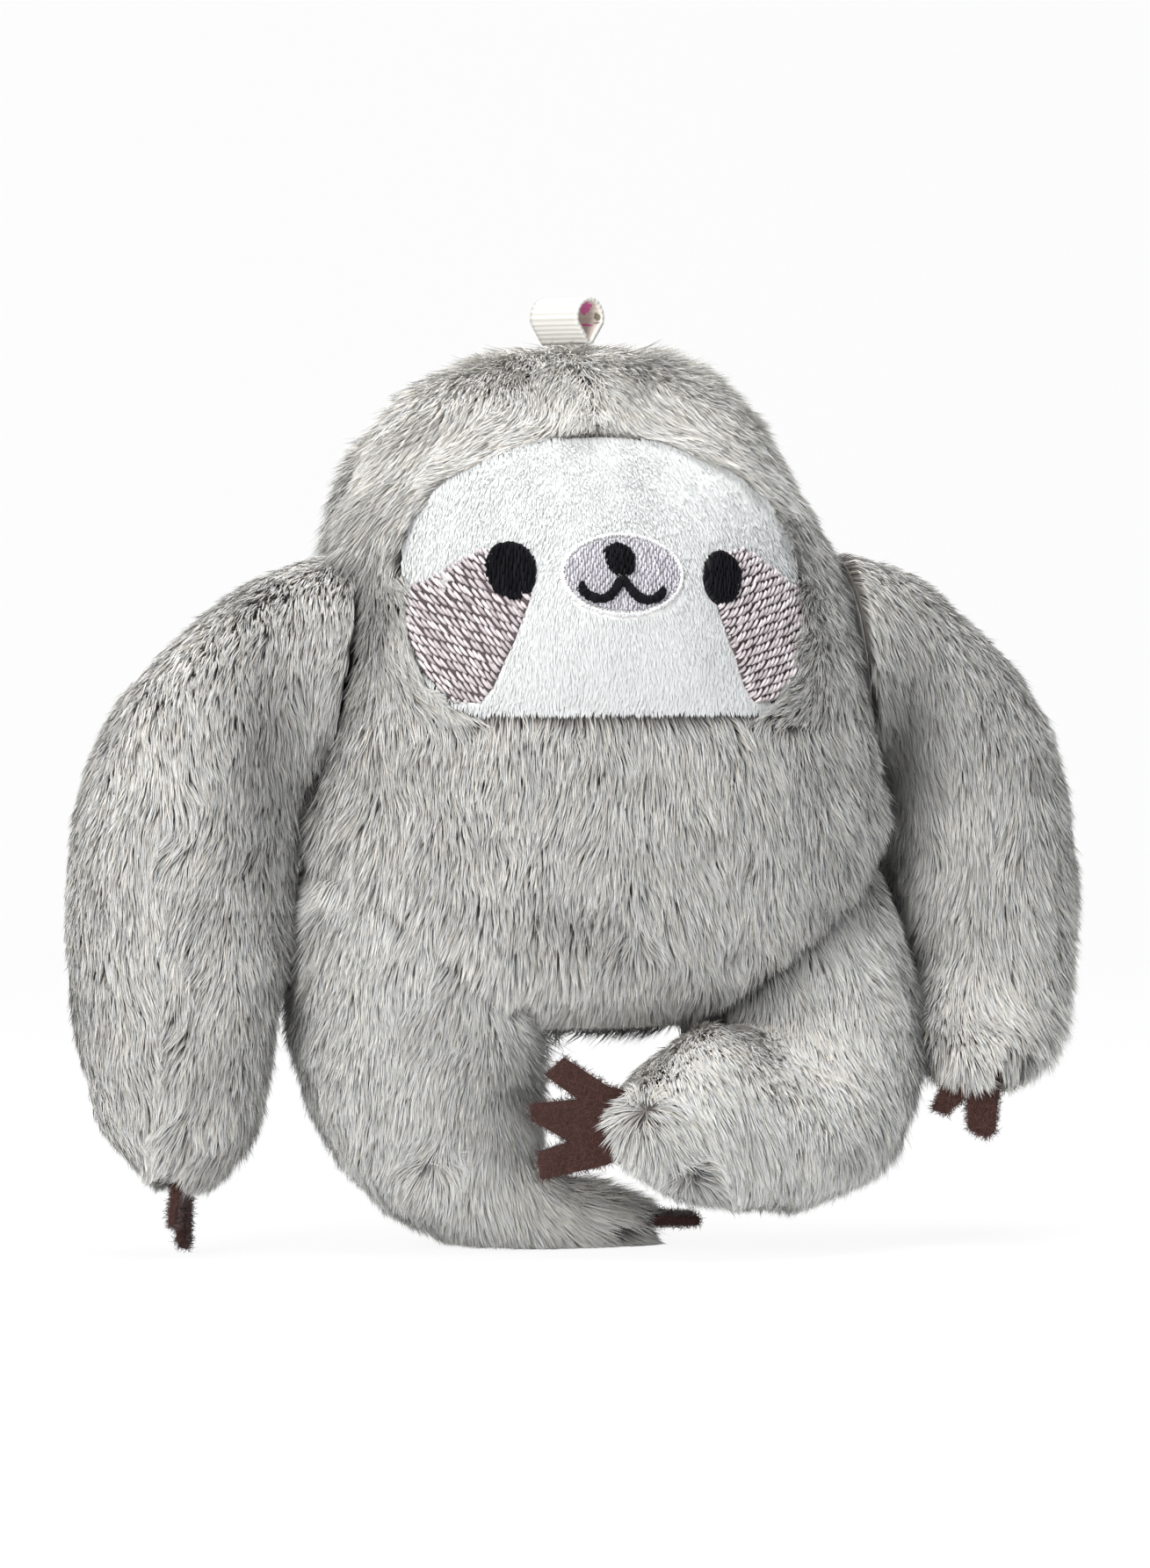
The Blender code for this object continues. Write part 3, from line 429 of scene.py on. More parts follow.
def pile_on(node, surface, body, flow, length, count, tip, seed, upright=None):
    """Pile strands on a panel: where they lie comes from flow, and how upright from upright."""
    rng = np.random.default_rng(seed)
    points, normals = scatter(*surface[node], count, rng)
    keep = clear_of_seams(points, body)
    points, normals = points[keep], normals[keep]
    inner = np.array([cores[body].find_nearest(Vector(point))[0] for point in points])
    roots = points + (inner - points) * DRAWN_IN + swell(points, body)
    leader = clump_leaders(points, STRANDS_IN_CLUMP, rng)
    x, y, z = points.T
    comb = unit(flow(points)) + 0.14 * ripples(points, 0.007, seed) + 0.20 * ripples(points, 0.0018, seed + 5)
    upward = np.clip(normals[:, 2], 0, 1)
    comb[:, 1] += 0.7 * upward * np.tanh((y - 0.004) / 0.006)
    lengths = length * (0.85 + 0.3 * rng.random(len(points))) * (1 + 0.10 * ripple(points, 0.005, seed + 9))
    angles = np.array([[ROOT_LEAN, TIP_LEAN]]) + 0.16 * rng.normal(size=(len(points), 2))
    angles = angles + 0.14 * ripple(points, 0.003, seed + 11)[:, None]
    laid, merging = laid_pile(points, normals, body), merging_pile(points, body)
    longer = np.zeros(len(points))
    for form, *place, radius, more in LONGER:
        if form == body:
            longer += more * close_to(points, place, radius)
    if body == "left_leg":
        longer += 0.1 * merging
    elif body == "body":
        comb[:, 0] += 0.5 * rng.normal(size=len(points)) * np.exp(-((x - FACE_X) / 0.003) ** 2) * (z > 0.113)
        longer += 0.55 * merging
        angles = angles + 0.35 * (merging * longer)[:, None]
    lengths = lengths * (1 + longer) * np.where(body == "body", 1, 1 - 0.3 * laid)
    angles = np.minimum(angles * (1 - 0.25 * longer)[:, None] + 0.25 * laid[:, None], FLATTEST_LEAN)
    if upright is not None:
        angles = angles * (1 - upright(points))[:, None]
    path = strand_paths(roots, normals, comb, lengths, angles, leader, CLUMPING, rng)
    overhang = 0.0002 + 0.0012 * rng.random(len(points))
    if body == "body":
        trim_body_pile(path, z, overhang)
    # No strand reaches into the floor
    path[:, :, 2] = np.maximum(path[:, :, 2], 0.0002)
    own = rng.random((len(points), 1))
    shade = 0.52 + 0.50 * own ** 0.6 + 0.24 * own[leader] + 0.06 * ripples(points, 0.003, seed + 13)[:, :1]
    # Painted shade: the pile is darker where other forms lie close and on the arms' inner sides
    crease_shade, light = painted_crease_shade(points, normals, body), painted_light_pile(points, normals, body)
    # Painted light: the chest's pile is lighter where it meets the left thigh
    shade = shade * (1 - crease_shade)[:, None] * (1 + (0.12 if body == "body" else 0) * merging)[:, None]
    # Painted light: the pile is lighter on the head, the right foot's top and the left toe
    shade = (shade + 0.45 * np.clip(light, 0, 1)[:, None] * (0.96 - shade)) * (1 + 0.12 * light)[:, None]
    # Where the thigh and the chest meet, both are shaded as if they faced forward
    normals = unit(normals + merging[:, None] * np.array([-0.2, -1.2, 0.2]))
    warm = 1 + 0.03 * rng.normal(size=(len(points), 1)) * np.array([[1, 0.2, -1]])
    width = PILE_WIDTH * (0.75 + 0.5 * rng.random(len(points)))
    # Painted light: on upward-facing pile the tips are painted a little lighter and the roots much lighter
    tip_colour = np.array([tip]) * shade * warm * (1 + 0.12 * upward)[:, None]
    root_colour = np.array([PILE_ROOT]) * shade * warm * (1 + 2.2 * upward + 1.5 * light)[:, None]
    made = strand_mesh(node + "_pile", path, normals, width, root_colour, tip_colour, pile, rng)
    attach(made, body)
    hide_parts(node)


# Where the limbs are sewn on: the middle of the flat seam, its way outward, and its radius
SEAMS = {
    "left_arm": ((-0.03605, 0.00153, 0.0845), (-0.988494, 0, 0.151261), 0.0125),
    "right_arm": ((0.03955, 0.00153, 0.0845), (0.988494, 0, 0.151261), 0.0125),
    "left_leg": ((-0.02465, 0.00153, 0.0441), (-0.66523, 0, -0.746638), 0.0145),
    "right_leg": ((0.02815, 0.00153, 0.0441), (0.66523, 0, -0.746638), 0.0145),
}


def clear_of_seams(points, body):
    """No pile grows on the flat of a seam, under the limb that is sewn there."""
    keep = np.ones(len(points), bool)
    if body == "body":
        for place, normal, reach in SEAMS.values():
            offset = points - np.array(place)
            depth = offset @ np.array(normal)
            beside = np.linalg.norm(offset - depth[:, None] * np.array(normal), axis=1)
            keep &= (depth < -0.0012) | (beside > reach * 0.9)
    return keep


# Which forms darken each form's pile with painted shade where they lie close beside it
SHADING_NEIGHBOURS = {
    "body": ("left_arm", "right_arm", "right_leg"), "left_arm": ("body", "left_leg"),
    "right_arm": ("body", "right_leg"), "left_leg": ("left_arm",), "right_leg": ("body", "left_leg", "right_arm"),
}
# Painted shade on the arms' inner sides, where the body shades them: middle x and z, widths, depth of shade
ARM_PAINTED_SHADE = {"left_arm": (-0.0480, 0.0720, 0.0065, 0.017, 0.50), "right_arm": (0.0445, 0.0720, 0.0065, 0.014, 0.84)}
# Places where the pile stands longer: the form, the place, its radius and how much longer
LONGER = (
    ("body", -0.036, -0.002, 0.1015, 0.009, 0.8), ("body", 0.008, 0.002, 0.1300, 0.011, 0.5),
    ("body", -0.038, -0.004, 0.0560, 0.007, 0.6), ("left_leg", -0.038, -0.004, 0.0500, 0.008, 0.35),
    ("left_leg", 0.004, -0.008, 0.0120, 0.012, 0.4), ("right_arm", 0.062, -0.004, 0.0330, 0.009, 0.5),
)


def pressed(points, others, reach=0.0038):
    """How close each place is pressed to the forms beside it, from 0 to 1."""
    apart = np.full(len(points), 0.018)
    for other in others:
        for k, point in enumerate(points):
            distance = cores[other].find_nearest(Vector(point), 0.018)[3]
            if distance is not None:
                apart[k] = min(apart[k], distance)
    return np.exp(-(np.maximum(apart - 0.0028, 0) / reach) ** 2)


def swell(points, body):
    """How far the left thigh's and the chest's padding is drawn out, so that they meet without a step."""
    shift = np.zeros_like(points)
    x, y, z = points.T
    if body == "left_leg":
        near = pressed(points, ("body",), 0.0065) * np.clip((0.004 - y) / 0.008, 0, 1)
        shift[:, 1] = -0.0050 * near * np.clip((x + 0.050) / 0.034, 0, 1)
    elif body == "body":
        near = pressed(points, ("left_leg",), 0.0045) * np.clip((0.002 - y) / 0.006, 0, 1) * (z < 0.062)
        shift += near[:, None] * np.array([-0.0004, -0.0010, -0.0022])
    return shift


def body_flow(points):
    x, y, z = points.T
    aside = (x - FACE_X) / 0.045
    high = np.clip((z - 0.085) / 0.03, 0, 1)
    flow = np.stack([aside * (0.25 + 0.7 * high), -0.25 * high * (y < 0.01), -np.ones(len(x))], 1)
    # Round the face the pile turns along the edge of the opening, away from the crown's seam
    a, b = (x - FACE_X) / FACE_HALF_WIDTH, np.maximum(z - FACE_LINE, 0) / FACE_DOME
    out = np.stack([a / FACE_HALF_WIDTH, np.zeros(len(x)), b / FACE_DOME], 1)
    way = np.tanh(aside * 9)[:, None]
    edge = unit(np.stack([out[:, 2], np.zeros(len(x)), -out[:, 0]], 1)) * way + 0.1 * unit(out)
    near = 0.75 * np.exp(-((np.sqrt(a * a + b * b) - 1) / 0.30) ** 2) * (y < 0) * (z > FACE_LINE - 0.002)
    flow = flow * (1 - near[:, None]) + edge * near[:, None]
    # Beside the cheeks and under the chin it lies a little over the face
    front = (y < 0) * (z > 0.0755) * (z < 0.106)
    flow[:, 0] -= 1.2 * np.exp(-((x - 0.0280) / 0.0042) ** 2) * front
    flow[:, 0] += 0.5 * np.exp(-((x + 0.0300) / 0.0030) ** 2) * front
    down = np.clip((FACE_LINE - z) / FACE_JAW, 0, 2)
    beside_jaw = np.exp(-(((np.abs(a) ** 5 + down ** 5) ** 0.2 - 1.05) / 0.07) ** 2) * (y < 0) * (z < FACE_LINE)
    inward = unit(np.stack([-np.sign(a) * np.abs(a) ** 4, np.zeros(len(x)), down ** 4 + 1e-6], 1))
    flow += 0.95 * beside_jaw[:, None] * inward
    return from_star(flow, points, (0.0006, -0.0245, 0.0455), 0.0042, 0.9)


def belly_upright(points):
    """The pile stands up in a wide patch to the left of the gathered point."""
    far = np.linalg.norm((points - np.array([-0.010, -0.025, 0.046])) / np.array([0.014, 0.02, 0.009]), axis=1)
    return 0.75 * np.exp(-far ** 2)


BODY_PANELS = ("chest_panel", "back_panel", "hood_left", "hood_right")
cores = {"body": tree_of(nodes["body_stuffing"])}
for limb in ("left_arm", "right_arm", "left_leg", "right_leg"):
    cores[limb] = tree_of(nodes[limb + "_stuffing"])
body_surface = outer_surface(BODY_PANELS, cores["body"])
for panel in BODY_PANELS:
    cover_sheet(panel, cores["body"], body_surface, "body")
pile_on("chest_panel", body_surface, "body", body_flow, BODY_PILE, 64000, PILE_TIP, 11, upright=belly_upright)
pile_on("back_panel", body_surface, "body", body_flow, BODY_PILE, 58000, PILE_TIP, 12)
pile_on("hood_left", body_surface, "body", body_flow, HOOD_PILE, 42000, PILE_TIP, 13)
pile_on("hood_right", body_surface, "body", body_flow, HOOD_PILE, 42000, PILE_TIP, 14)


# The arms hang from flat seams at the shoulders, each of an outer and an inner panel. Their pile runs
# down to the hand and spreads from the point where the hand is gathered.
LIMB_PILE = 0.0048
ARM_STRANDS = (50000, 40000)


def left_arm_flow(points):
    x, y, z = points.T
    beside = x + 0.0635
    toward_seam = -0.55 * np.tanh(beside / 0.003) * np.exp(-(beside / 0.009) ** 2) * (z < 0.062) * (y < 0)
    flow = np.stack([toward_seam - 0.12, np.zeros(len(x)), -np.ones(len(x))], 1)
    return from_star(flow, points, (-0.0600, -0.0100, 0.0190), 0.0040, 0.55)


def right_arm_flow(points):
    flow = np.stack([0.10 * np.ones(len(points)), np.zeros(len(points)), -np.ones(len(points))], 1)
    return from_star(flow, points, (0.0515, -0.0150, 0.0335), 0.0035, 0.7)


for word, flow, seed in (("left", left_arm_flow, 21), ("right", right_arm_flow, 31)):
    arm = word + "_arm"
    arm_panels = (arm + "_outer_panel", arm + "_inner_panel")
    surface = outer_surface(arm_panels, cores[arm])
    for k, panel in enumerate(arm_panels):
        cover_sheet(panel, cores[arm], surface, arm)
        pile_on(panel, surface, arm, flow, LIMB_PILE, ARM_STRANDS[k], PILE_TIP, seed + k)


# The legs are curled under the body, each of a front and a back panel, with lighter and cooler pile
# that spreads from the gathered point at the toe.
LEG_TIP = (0.66, 0.66, 0.638)
LEG_STRANDS = (44000, 32000)


def left_leg_flow(points):
    x, y, z = points.T
    low = np.clip((0.020 - z) / 0.015, 0, 1)
    flow = np.stack([-0.15 + 1.2 * low * np.clip((x + 0.024) / 0.02, -1, 1), np.zeros(len(x)), -np.ones(len(x))], 1)
    return from_star(flow, points, (-0.0241, -0.0115, 0.0130), 0.0045, 0.65)


def right_leg_flow(points):
    flow = np.stack([0.10 * np.ones(len(points)), np.zeros(len(points)), -np.ones(len(points))], 1)
    flow = from_star(flow, points, (0.0010, -0.0275, 0.0200), 0.0080, 0.6)
    return from_star(flow, points, (0.0065, -0.0275, 0.0105), 0.0060, 0.85)


for word, flow, seed in (("left", left_leg_flow, 41), ("right", right_leg_flow, 51)):
    leg = word + "_leg"
    leg_panels = (leg + "_front_panel", leg + "_back_panel")
    surface = outer_surface(leg_panels, cores[leg])
    for k, panel in enumerate(leg_panels):
        cover_sheet(panel, cores[leg], surface, leg)
        pile_on(panel, surface, leg, flow, LIMB_PILE, LEG_STRANDS[k], LEG_TIP, seed + k)

# The loose fibre inside shows nowhere, and keeps its solids with a finish of its own.
fibre = backing_material("loose_fibre", (0.70, 0.70, 0.68), (0.88, 0.88, 0.86), 260.0)
for name in ("body_stuffing", "left_arm_stuffing", "right_arm_stuffing", "left_leg_stuffing", "right_leg_stuffing"):
    nodes[name].data.materials.clear()
    nodes[name].data.materials.append(fibre)

# The face is a smooth padded panel in short white plush, set into the hood. Its fibres lie downward
# and stop where something is stitched on.
FACE_TIP = (0.695, 0.710, 0.713)
FACE_ROOT = (0.59, 0.60, 0.60)
FACE_PILE = 0.0013
FACE_FIBRE_WIDTH = 0.00016
FACE_FIBRES = 50000
face_cloth = backing_material("face_cloth", (0.62, 0.62, 0.605), (0.70, 0.70, 0.69), 500.0)
face_plush = strand_material("face_plush", 0.8, 0.08, 60.0, 0.25)
face_points, face_corners = triangles_of(nodes["face_panel"])
face = mesh_of("face_cloth_panel", face_points, face_corners, None, None, [face_cloth])
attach(face, "body")
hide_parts("face_panel")

# A height map of the face, from its solid and then smoothed, on which plush and stitches lie
GRID = 0.0003
face_low, face_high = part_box("face_panel")
grid_x = np.arange(face_low.x - 0.001, face_high.x + 0.001, GRID)
grid_z = np.arange(face_low.z - 0.001, face_high.z + 0.001, GRID)
face_tree = tree_of(nodes["face_panel"])
height_map = np.full((len(grid_x), len(grid_z)), np.nan)
for i, x in enumerate(grid_x):
    for j, z in enumerate(grid_z):
        hit = face_tree.ray_cast(Vector((x, -0.1, z)), Vector((0, 1, 0)))[0]
        if hit is not None:
            height_map[i, j] = hit.y


def neighbours(values):
    padded = np.pad(values, 1, mode="edge")
    return np.stack([padded[1 + a:padded.shape[0] - 1 + a, 1 + b:padded.shape[1] - 1 + b]
                     for a in (-1, 0, 1) for b in (-1, 0, 1)])


while np.isnan(height_map).any():
    near = neighbours(height_map)
    known = ~np.isnan(near)
    filled = np.where(known, near, 0).sum(0) / np.maximum(known.sum(0), 1)
    height_map = np.where(np.isnan(height_map) & known.any(0), filled, height_map)
for _ in range(10):
    height_map = neighbours(height_map).mean(0)
slope_x, slope_z = np.gradient(height_map, GRID)


def read_map(values, x, z):
    a = np.clip((x - grid_x[0]) / GRID, 0, len(grid_x) - 1.001)
    b = np.clip((z - grid_z[0]) / GRID, 0, len(grid_z) - 1.001)
    i, j = a.astype(int), b.astype(int)
    a, b = a - i, b - j
    low = values[i, j] * (1 - b) + values[i, j + 1] * b
    high = values[i + 1, j] * (1 - b) + values[i + 1, j + 1] * b
    return low * (1 - a) + high * a


def on_face(x, z):
    """The face's points and normals behind places that are given as seen from the front."""
    normals = unit(np.stack([read_map(slope_x, x, z), -np.ones(len(x)), read_map(slope_z, x, z)], 1))
    return np.stack([x, read_map(height_map, x, z), z], 1), normals


def inside_polygon(x, z, outline):
    inside = np.zeros(len(x), bool)
    for (ax, az), (bx, bz) in zip(outline, outline[1:] + outline[:1]):
        crosses = (az > z) != (bz > z)
        inside ^= crosses & (x < (bx - ax) * (z - az) / (bz - az + 1e-12) + ax)
    return inside


def oval_outline(x, z, half_width, half_height, steps=40):
    turns = [2 * math.pi * k / steps for k in range(steps)]
    return [(x + half_width * math.cos(t), z + half_height * math.sin(t)) for t in turns]


def cheek_outline(side):
    edge = [(0.0232, 0.0781), (0.0268, 0.0822), (0.0284, 0.0876), (0.0289, 0.0932)]
    inner = [(0.0188, 0.0996), (0.0143, 0.0983), (0.0130, 0.0928), (0.0152, 0.0868), (0.0180, 0.0800)]
    return [(FACE_X + side * x, z) for x, z in edge + inner + [(0.0196, 0.0779)]]


# Each oval's middle, half width and half height
MUZZLE = (-0.0011, 0.0957, 0.0088, 0.0058)
EYES = {"left": (-0.0161, 0.0963, 0.0032, 0.0040), "right": (0.0136, 0.0952, 0.0029, 0.0038)}
stitched = [cheek_outline(-1), cheek_outline(1), oval_outline(*MUZZLE)]
stitched += [oval_outline(*eye) for eye in EYES.values()]

rng = np.random.default_rng(61)
x = face_low.x + (face_high.x - face_low.x) * rng.random(90000)
z = face_low.z + (face_high.z - face_low.z) * rng.random(90000)
keep = inside_face(x, z, -0.0002)
for outline in stitched:
    keep &= ~inside_polygon(x, z, outline)
x, z = x[keep][:FACE_FIBRES], z[keep][:FACE_FIBRES]
points, normals = on_face(x, z)
comb = np.stack([0.12 * ripple(points, 0.005, 62), -0.5 * np.clip(normals[:, 2], 0, 1), -np.ones(len(x))], 1)
comb += 0.08 * ripples(points, 0.0015, 63)
lengths = FACE_PILE * (0.8 + 0.4 * rng.random(len(x)))
angles = np.array([[0.95, 1.30]]) + 0.10 * rng.normal(size=(len(x), 2)) + 0.06 * ripple(points, 0.0018, 64)[:, None]
# The fibres lie flatter on the forehead's right side, which the light only grazes
flatter = np.clip((x - 0.003) / 0.010, 0, 1) * np.clip((z - 0.099) / 0.006, 0, 1)
angles = np.minimum(angles + 0.25 * flatter[:, None], 1.45)
leader = clump_leaders(points, 8, rng)
path = strand_paths(points - normals * 0.0002, normals, comb, lengths, angles, leader, 0.35, rng)
shade = 0.95 + 0.1 * rng.random((len(x), 1))
plush = strand_mesh(
    "face_plush_fibres", path, normals, FACE_FIBRE_WIDTH * (0.8 + 0.4 * rng.random(len(x))),
    np.array([FACE_ROOT]) * shade, np.array([FACE_TIP]) * shade, face_plush, rng,
)
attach(plush, "body")
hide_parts("face_panel")


# The stitched features: cheeks of short slanted stitches, a lilac muzzle with a white satin border,
# and black satin eyes, nose and mouth. Each stitch is one raised thread over its patch's ground.
THREAD_RINGS = 6
THREAD_SIDES = 5
THREAD_WORN = (0.9, 0.88, 0.88)


def thread_material(name, roughness):
    tree, shader, made = new_material(name, roughness)
    uneven = noise_value(tree, 2600.0, 1.0)
    colour = mixed(tree, uneven * 0.35, carried_colour(tree), THREAD_WORN, "MULTIPLY")
    link_to(tree, colour, shader.inputs["Base Color"])
    bump(tree, shader, uneven, 0.35, 0.0001)
    return made


def inset(x, z, outline):
    """How far inside an outline each place is, less than 0 outside it."""
    begin = np.array(outline)
    run = np.roll(begin, -1, axis=0) - begin
    to = np.stack([x, z], 1)[:, None] - begin
    share = np.clip((to * run).sum(-1) / (run * run).sum(-1), 0, 1)
    apart = np.linalg.norm(to - share[:, :, None] * run, axis=2).min(1)
    return np.where(inside_polygon(x, z, outline), apart, -apart)


def stitches(name, starts, ends, width, lift, arch, colours, finish, rng, outline=None):
    """Threads from starts to ends, given as seen from the front, which dip into the cloth at both."""
    count = len(starts)
    share = np.linspace(0, 1, THREAD_RINGS)
    flat = starts[:, None] + (ends - starts)[:, None] * share[None, :, None]
    places, normals = on_face(flat[:, :, 0].ravel(), flat[:, :, 1].ravel())
    places, normals = places.reshape(count, THREAD_RINGS, 3), normals.reshape(count, THREAD_RINGS, 3)
    rise = (lift + arch * np.sin(np.pi * share) ** 0.6)[None] * np.ones((count, 1))
    if outline is not None:
        within = inset(flat[:, :, 0].ravel(), flat[:, :, 1].ravel(), outline).reshape(count, THREAD_RINGS)
        rise *= np.clip((within + 0.0003) / 0.0007, 0.15, 1)
    places = places + normals * (rise[:, :, None] + 0.00004 * rng.normal(size=(count, 1, 1)))
    way = unit(places[:, -1] - places[:, 0])[:, None]
    side = unit(np.cross(way, normals))
    girth = width / 2 * (0.55 + 0.45 * np.sin(np.pi * share) ** 0.5)[None, :, None, None]
    turns = np.arange(THREAD_SIDES) * 2 * np.pi / THREAD_SIDES
    ring = side[:, :, None] * np.cos(turns)[:, None] + normals[:, :, None] * np.sin(turns)[:, None] * 0.8
    points = places[:, :, None] + ring * girth
    corners = []
    for level in range(THREAD_RINGS - 1):
        for k in range(THREAD_SIDES):
            a, b = level * THREAD_SIDES + k, level * THREAD_SIDES + (k + 1) % THREAD_SIDES
            corners += [(a, b, b + THREAD_SIDES), (a, b + THREAD_SIDES, a + THREAD_SIDES)]
    last = (THREAD_RINGS - 1) * THREAD_SIDES
    for k in range(1, THREAD_SIDES - 1):
        corners += [(0, k + 1, k), (last, last + k, last + k + 1)]
    per = THREAD_RINGS * THREAD_SIDES
    corners = (np.array(corners)[None] + per * np.arange(count)[:, None, None]).reshape(-1, 3)
    made = mesh_of(name, points.reshape(-1, 3), corners, None, np.repeat(colours, per, axis=0), [finish])
    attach(made, "body")
    return made


def ground_patch(node, outline, height, finish):
    """The cloth that a patch's stitches lie on: a thin closed pad that stands for the patch's solid."""
    around = np.array(outline)
    middle = around.mean(0)
    rings = []
    for share, rise in ((1.0, -0.0004), (1.0, 0.3 * height), (0.95, 0.8 * height), (0.85, height), (0.45, height)):
        flat = middle + (around - middle) * share
        places, normals = on_face(flat[:, 0], flat[:, 1])
        rings.append(places + normals * rise)
    places, normals = on_face(middle[:1], middle[1:])
    points = np.vstack(rings + [places + normals * height, places - normals * 0.0004])
    count, corners = len(around), []
    for k in range(count):
        ahead = (k + 1) % count
        for level in range(len(rings) - 1):
            a, b = level * count + k, level * count + ahead
            corners += [(a, b, b + count), (a, b + count, a + count)]
        last = (len(rings) - 1) * count
        corners += [(last + k, last + ahead, len(points) - 2), (ahead, k, len(points) - 1)]
    signed = sum(a[0] * b[1] - b[0] * a[1] for a, b in zip(outline, outline[1:] + outline[:1]))
    corners = np.array(corners)
    if signed < 0:
        corners = corners[:, ::-1]
    made = mesh_of(node + "_ground", points, corners, None, None, [finish])
    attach(made, "body")
    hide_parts(node)


def filled(outline, angle, spacing, length, rng, stagger=0.5, gap=0.0, ragged=0.0):
    """Rows of stitches at an angle that fill an outline, staggered from row to row."""
    way = np.array([math.cos(angle), math.sin(angle)])
    beside = np.array([-way[1], way[0]])
    corners = np.array(outline)
    along, across = corners @ way, corners @ beside
    starts, ends = [], []
    for row, offset in enumerate(np.arange(across.min() - spacing, across.max() + spacing, spacing)):
        first = along.min() - length * (1 + (row * stagger) % 1)
        for begin in np.arange(first, along.max() + length, length):
            fine = begin + np.linspace(0, length - gap, 12)
            spots = fine[:, None] * way + offset * beside
            within = inside_polygon(spots[:, 0], spots[:, 1], outline)
            if within.sum() > 2:
                jitter = rng.normal(size=2) * spacing * 0.2
                starts.append(spots[within][0] + jitter - way * ragged * rng.random())
                ends.append(spots[within][-1] + jitter + way * ragged * rng.random())
    return np.array(starts), np.array(ends)


def thread_colours(count, low, high, rng):
    share = rng.random((count, 1))
    return np.array([low]) * (1 - share) + np.array([high]) * share


pale_thread = thread_material("pale_thread", 0.55)
dark_thread = thread_material("dark_thread", 0.85)
dark_thread.node_tree.nodes["Principled BSDF"].inputs["Specular IOR Level"].default_value = 0.1
cheek_ground = backing_material("cheek_ground", (0.06, 0.046, 0.048), (0.14, 0.11, 0.115), 1500.0)
muzzle_ground = backing_material("muzzle_ground", (0.30, 0.285, 0.31), (0.40, 0.385, 0.42), 1500.0)
white_ground = backing_material("border_ground", (0.60, 0.59, 0.60), (0.72, 0.71, 0.72), 1500.0)
black_ground = backing_material("black_ground", (0.004, 0.004, 0.005), (0.010, 0.010, 0.011), 1500.0)
INK_LOW, INK_HIGH = (0.002, 0.002, 0.003), (0.008, 0.008, 0.011)
CHEEK_LOW, CHEEK_HIGH = (0.36, 0.315, 0.33), (0.66, 0.605, 0.62)
MUZZLE_LOW, MUZZLE_HIGH = (0.38, 0.37, 0.41), (0.58, 0.565, 0.61)
BORDER_LOW, BORDER_HIGH = (0.60, 0.595, 0.61), (0.82, 0.82, 0.82)

# How far threads lie above the face: on the cloth, and on other stitches
FIRST_LIFT = 0.0004
SECOND_LIFT = 0.00085
CHEEK_ROWS, CHEEK_STITCH, CHEEK_GAP = 0.00050, 0.0019, 0.00042
BLACK_ROWS, BLACK_ARCH = 0.00030, 0.0004
MUZZLE_ROWS, MUZZLE_STITCH = 0.00034, 0.0011
BORDER_WIDTH = 0.0007
BORDER_STITCHES = 229
for side, word in ((-1, "left"), (1, "right")):
    rng = np.random.default_rng(70 + side)
    cheek = cheek_outline(side)
    ground_patch("cheek_patch_" + word, cheek, 0.00035, cheek_ground)
    stagger, angle = (0.667, -55) if side < 0 else (0.333, 52)
    starts, ends = filled(cheek, math.radians(angle), CHEEK_ROWS, CHEEK_STITCH, rng, stagger, CHEEK_GAP, 0.0003)
    # No cheek stitch lies under the eye
    eye = oval_outline(*EYES[word])
    middle = (starts + ends) / 2
    clear = inset(middle[:, 0], middle[:, 1], eye) < 0.0004
    starts, ends = starts[clear], ends[clear]
    colours = thread_colours(len(starts), CHEEK_LOW, CHEEK_HIGH, rng)
    stitches(
        "cheek_stitches_" + word, starts, ends, 0.00052, FIRST_LIFT, 0.00036, colours,
        pale_thread, rng, cheek,
    )
    ground_patch("eye_" + word, eye, 0.0008, black_ground)
    starts, ends = filled(eye, math.radians(84), BLACK_ROWS, 0.0026, rng, 0.41, 0.0, 0.00035)
    colours = thread_colours(len(starts), INK_LOW, INK_HIGH, rng)
    stitches(
        "eye_stitches_" + word, starts, ends, 0.00040, SECOND_LIFT, BLACK_ARCH, colours,
        dark_thread, rng, eye,
    )


def round_muzzle(turns, wider):
    """Places round the muzzle's edge, wider or narrower than its oval."""
    x, z, half_width, half_height = MUZZLE
    return np.stack([x + (half_width + wider) * np.cos(turns), z + (half_height + wider) * np.sin(turns)], 1)


rng = np.random.default_rng(75)
muzzle = oval_outline(*MUZZLE)
lilac = oval_outline(*MUZZLE[:2], MUZZLE[2] - BORDER_WIDTH, MUZZLE[3] - BORDER_WIDTH)
ground_patch("muzzle_border", muzzle, 0.0003, white_ground)
ground_patch("muzzle_patch", lilac, 0.00038, muzzle_ground)
starts, ends = filled(lilac, math.radians(84), MUZZLE_ROWS, MUZZLE_STITCH, rng, 0.41)
colours = thread_colours(len(starts), MUZZLE_LOW, MUZZLE_HIGH, rng)
stitches("muzzle_stitches", starts, ends, 0.00033, FIRST_LIFT, 0.00022, colours, pale_thread, rng)
turns = np.linspace(0, 2 * math.pi, BORDER_STITCHES + 1)[:-1]
ring_low, ring_high = 0.00055 + 0.0003 * rng.random(len(turns)), 0.0004 * rng.random(len(turns)) - 0.0001
starts, ends = round_muzzle(turns, -ring_low), round_muzzle(turns, ring_high)
colours = thread_colours(len(starts), BORDER_LOW, BORDER_HIGH, rng)
stitches(
    "border_stitches", starts, ends, 0.00028, FIRST_LIFT, 0.00038, colours,
    pale_thread, rng, muzzle,
)

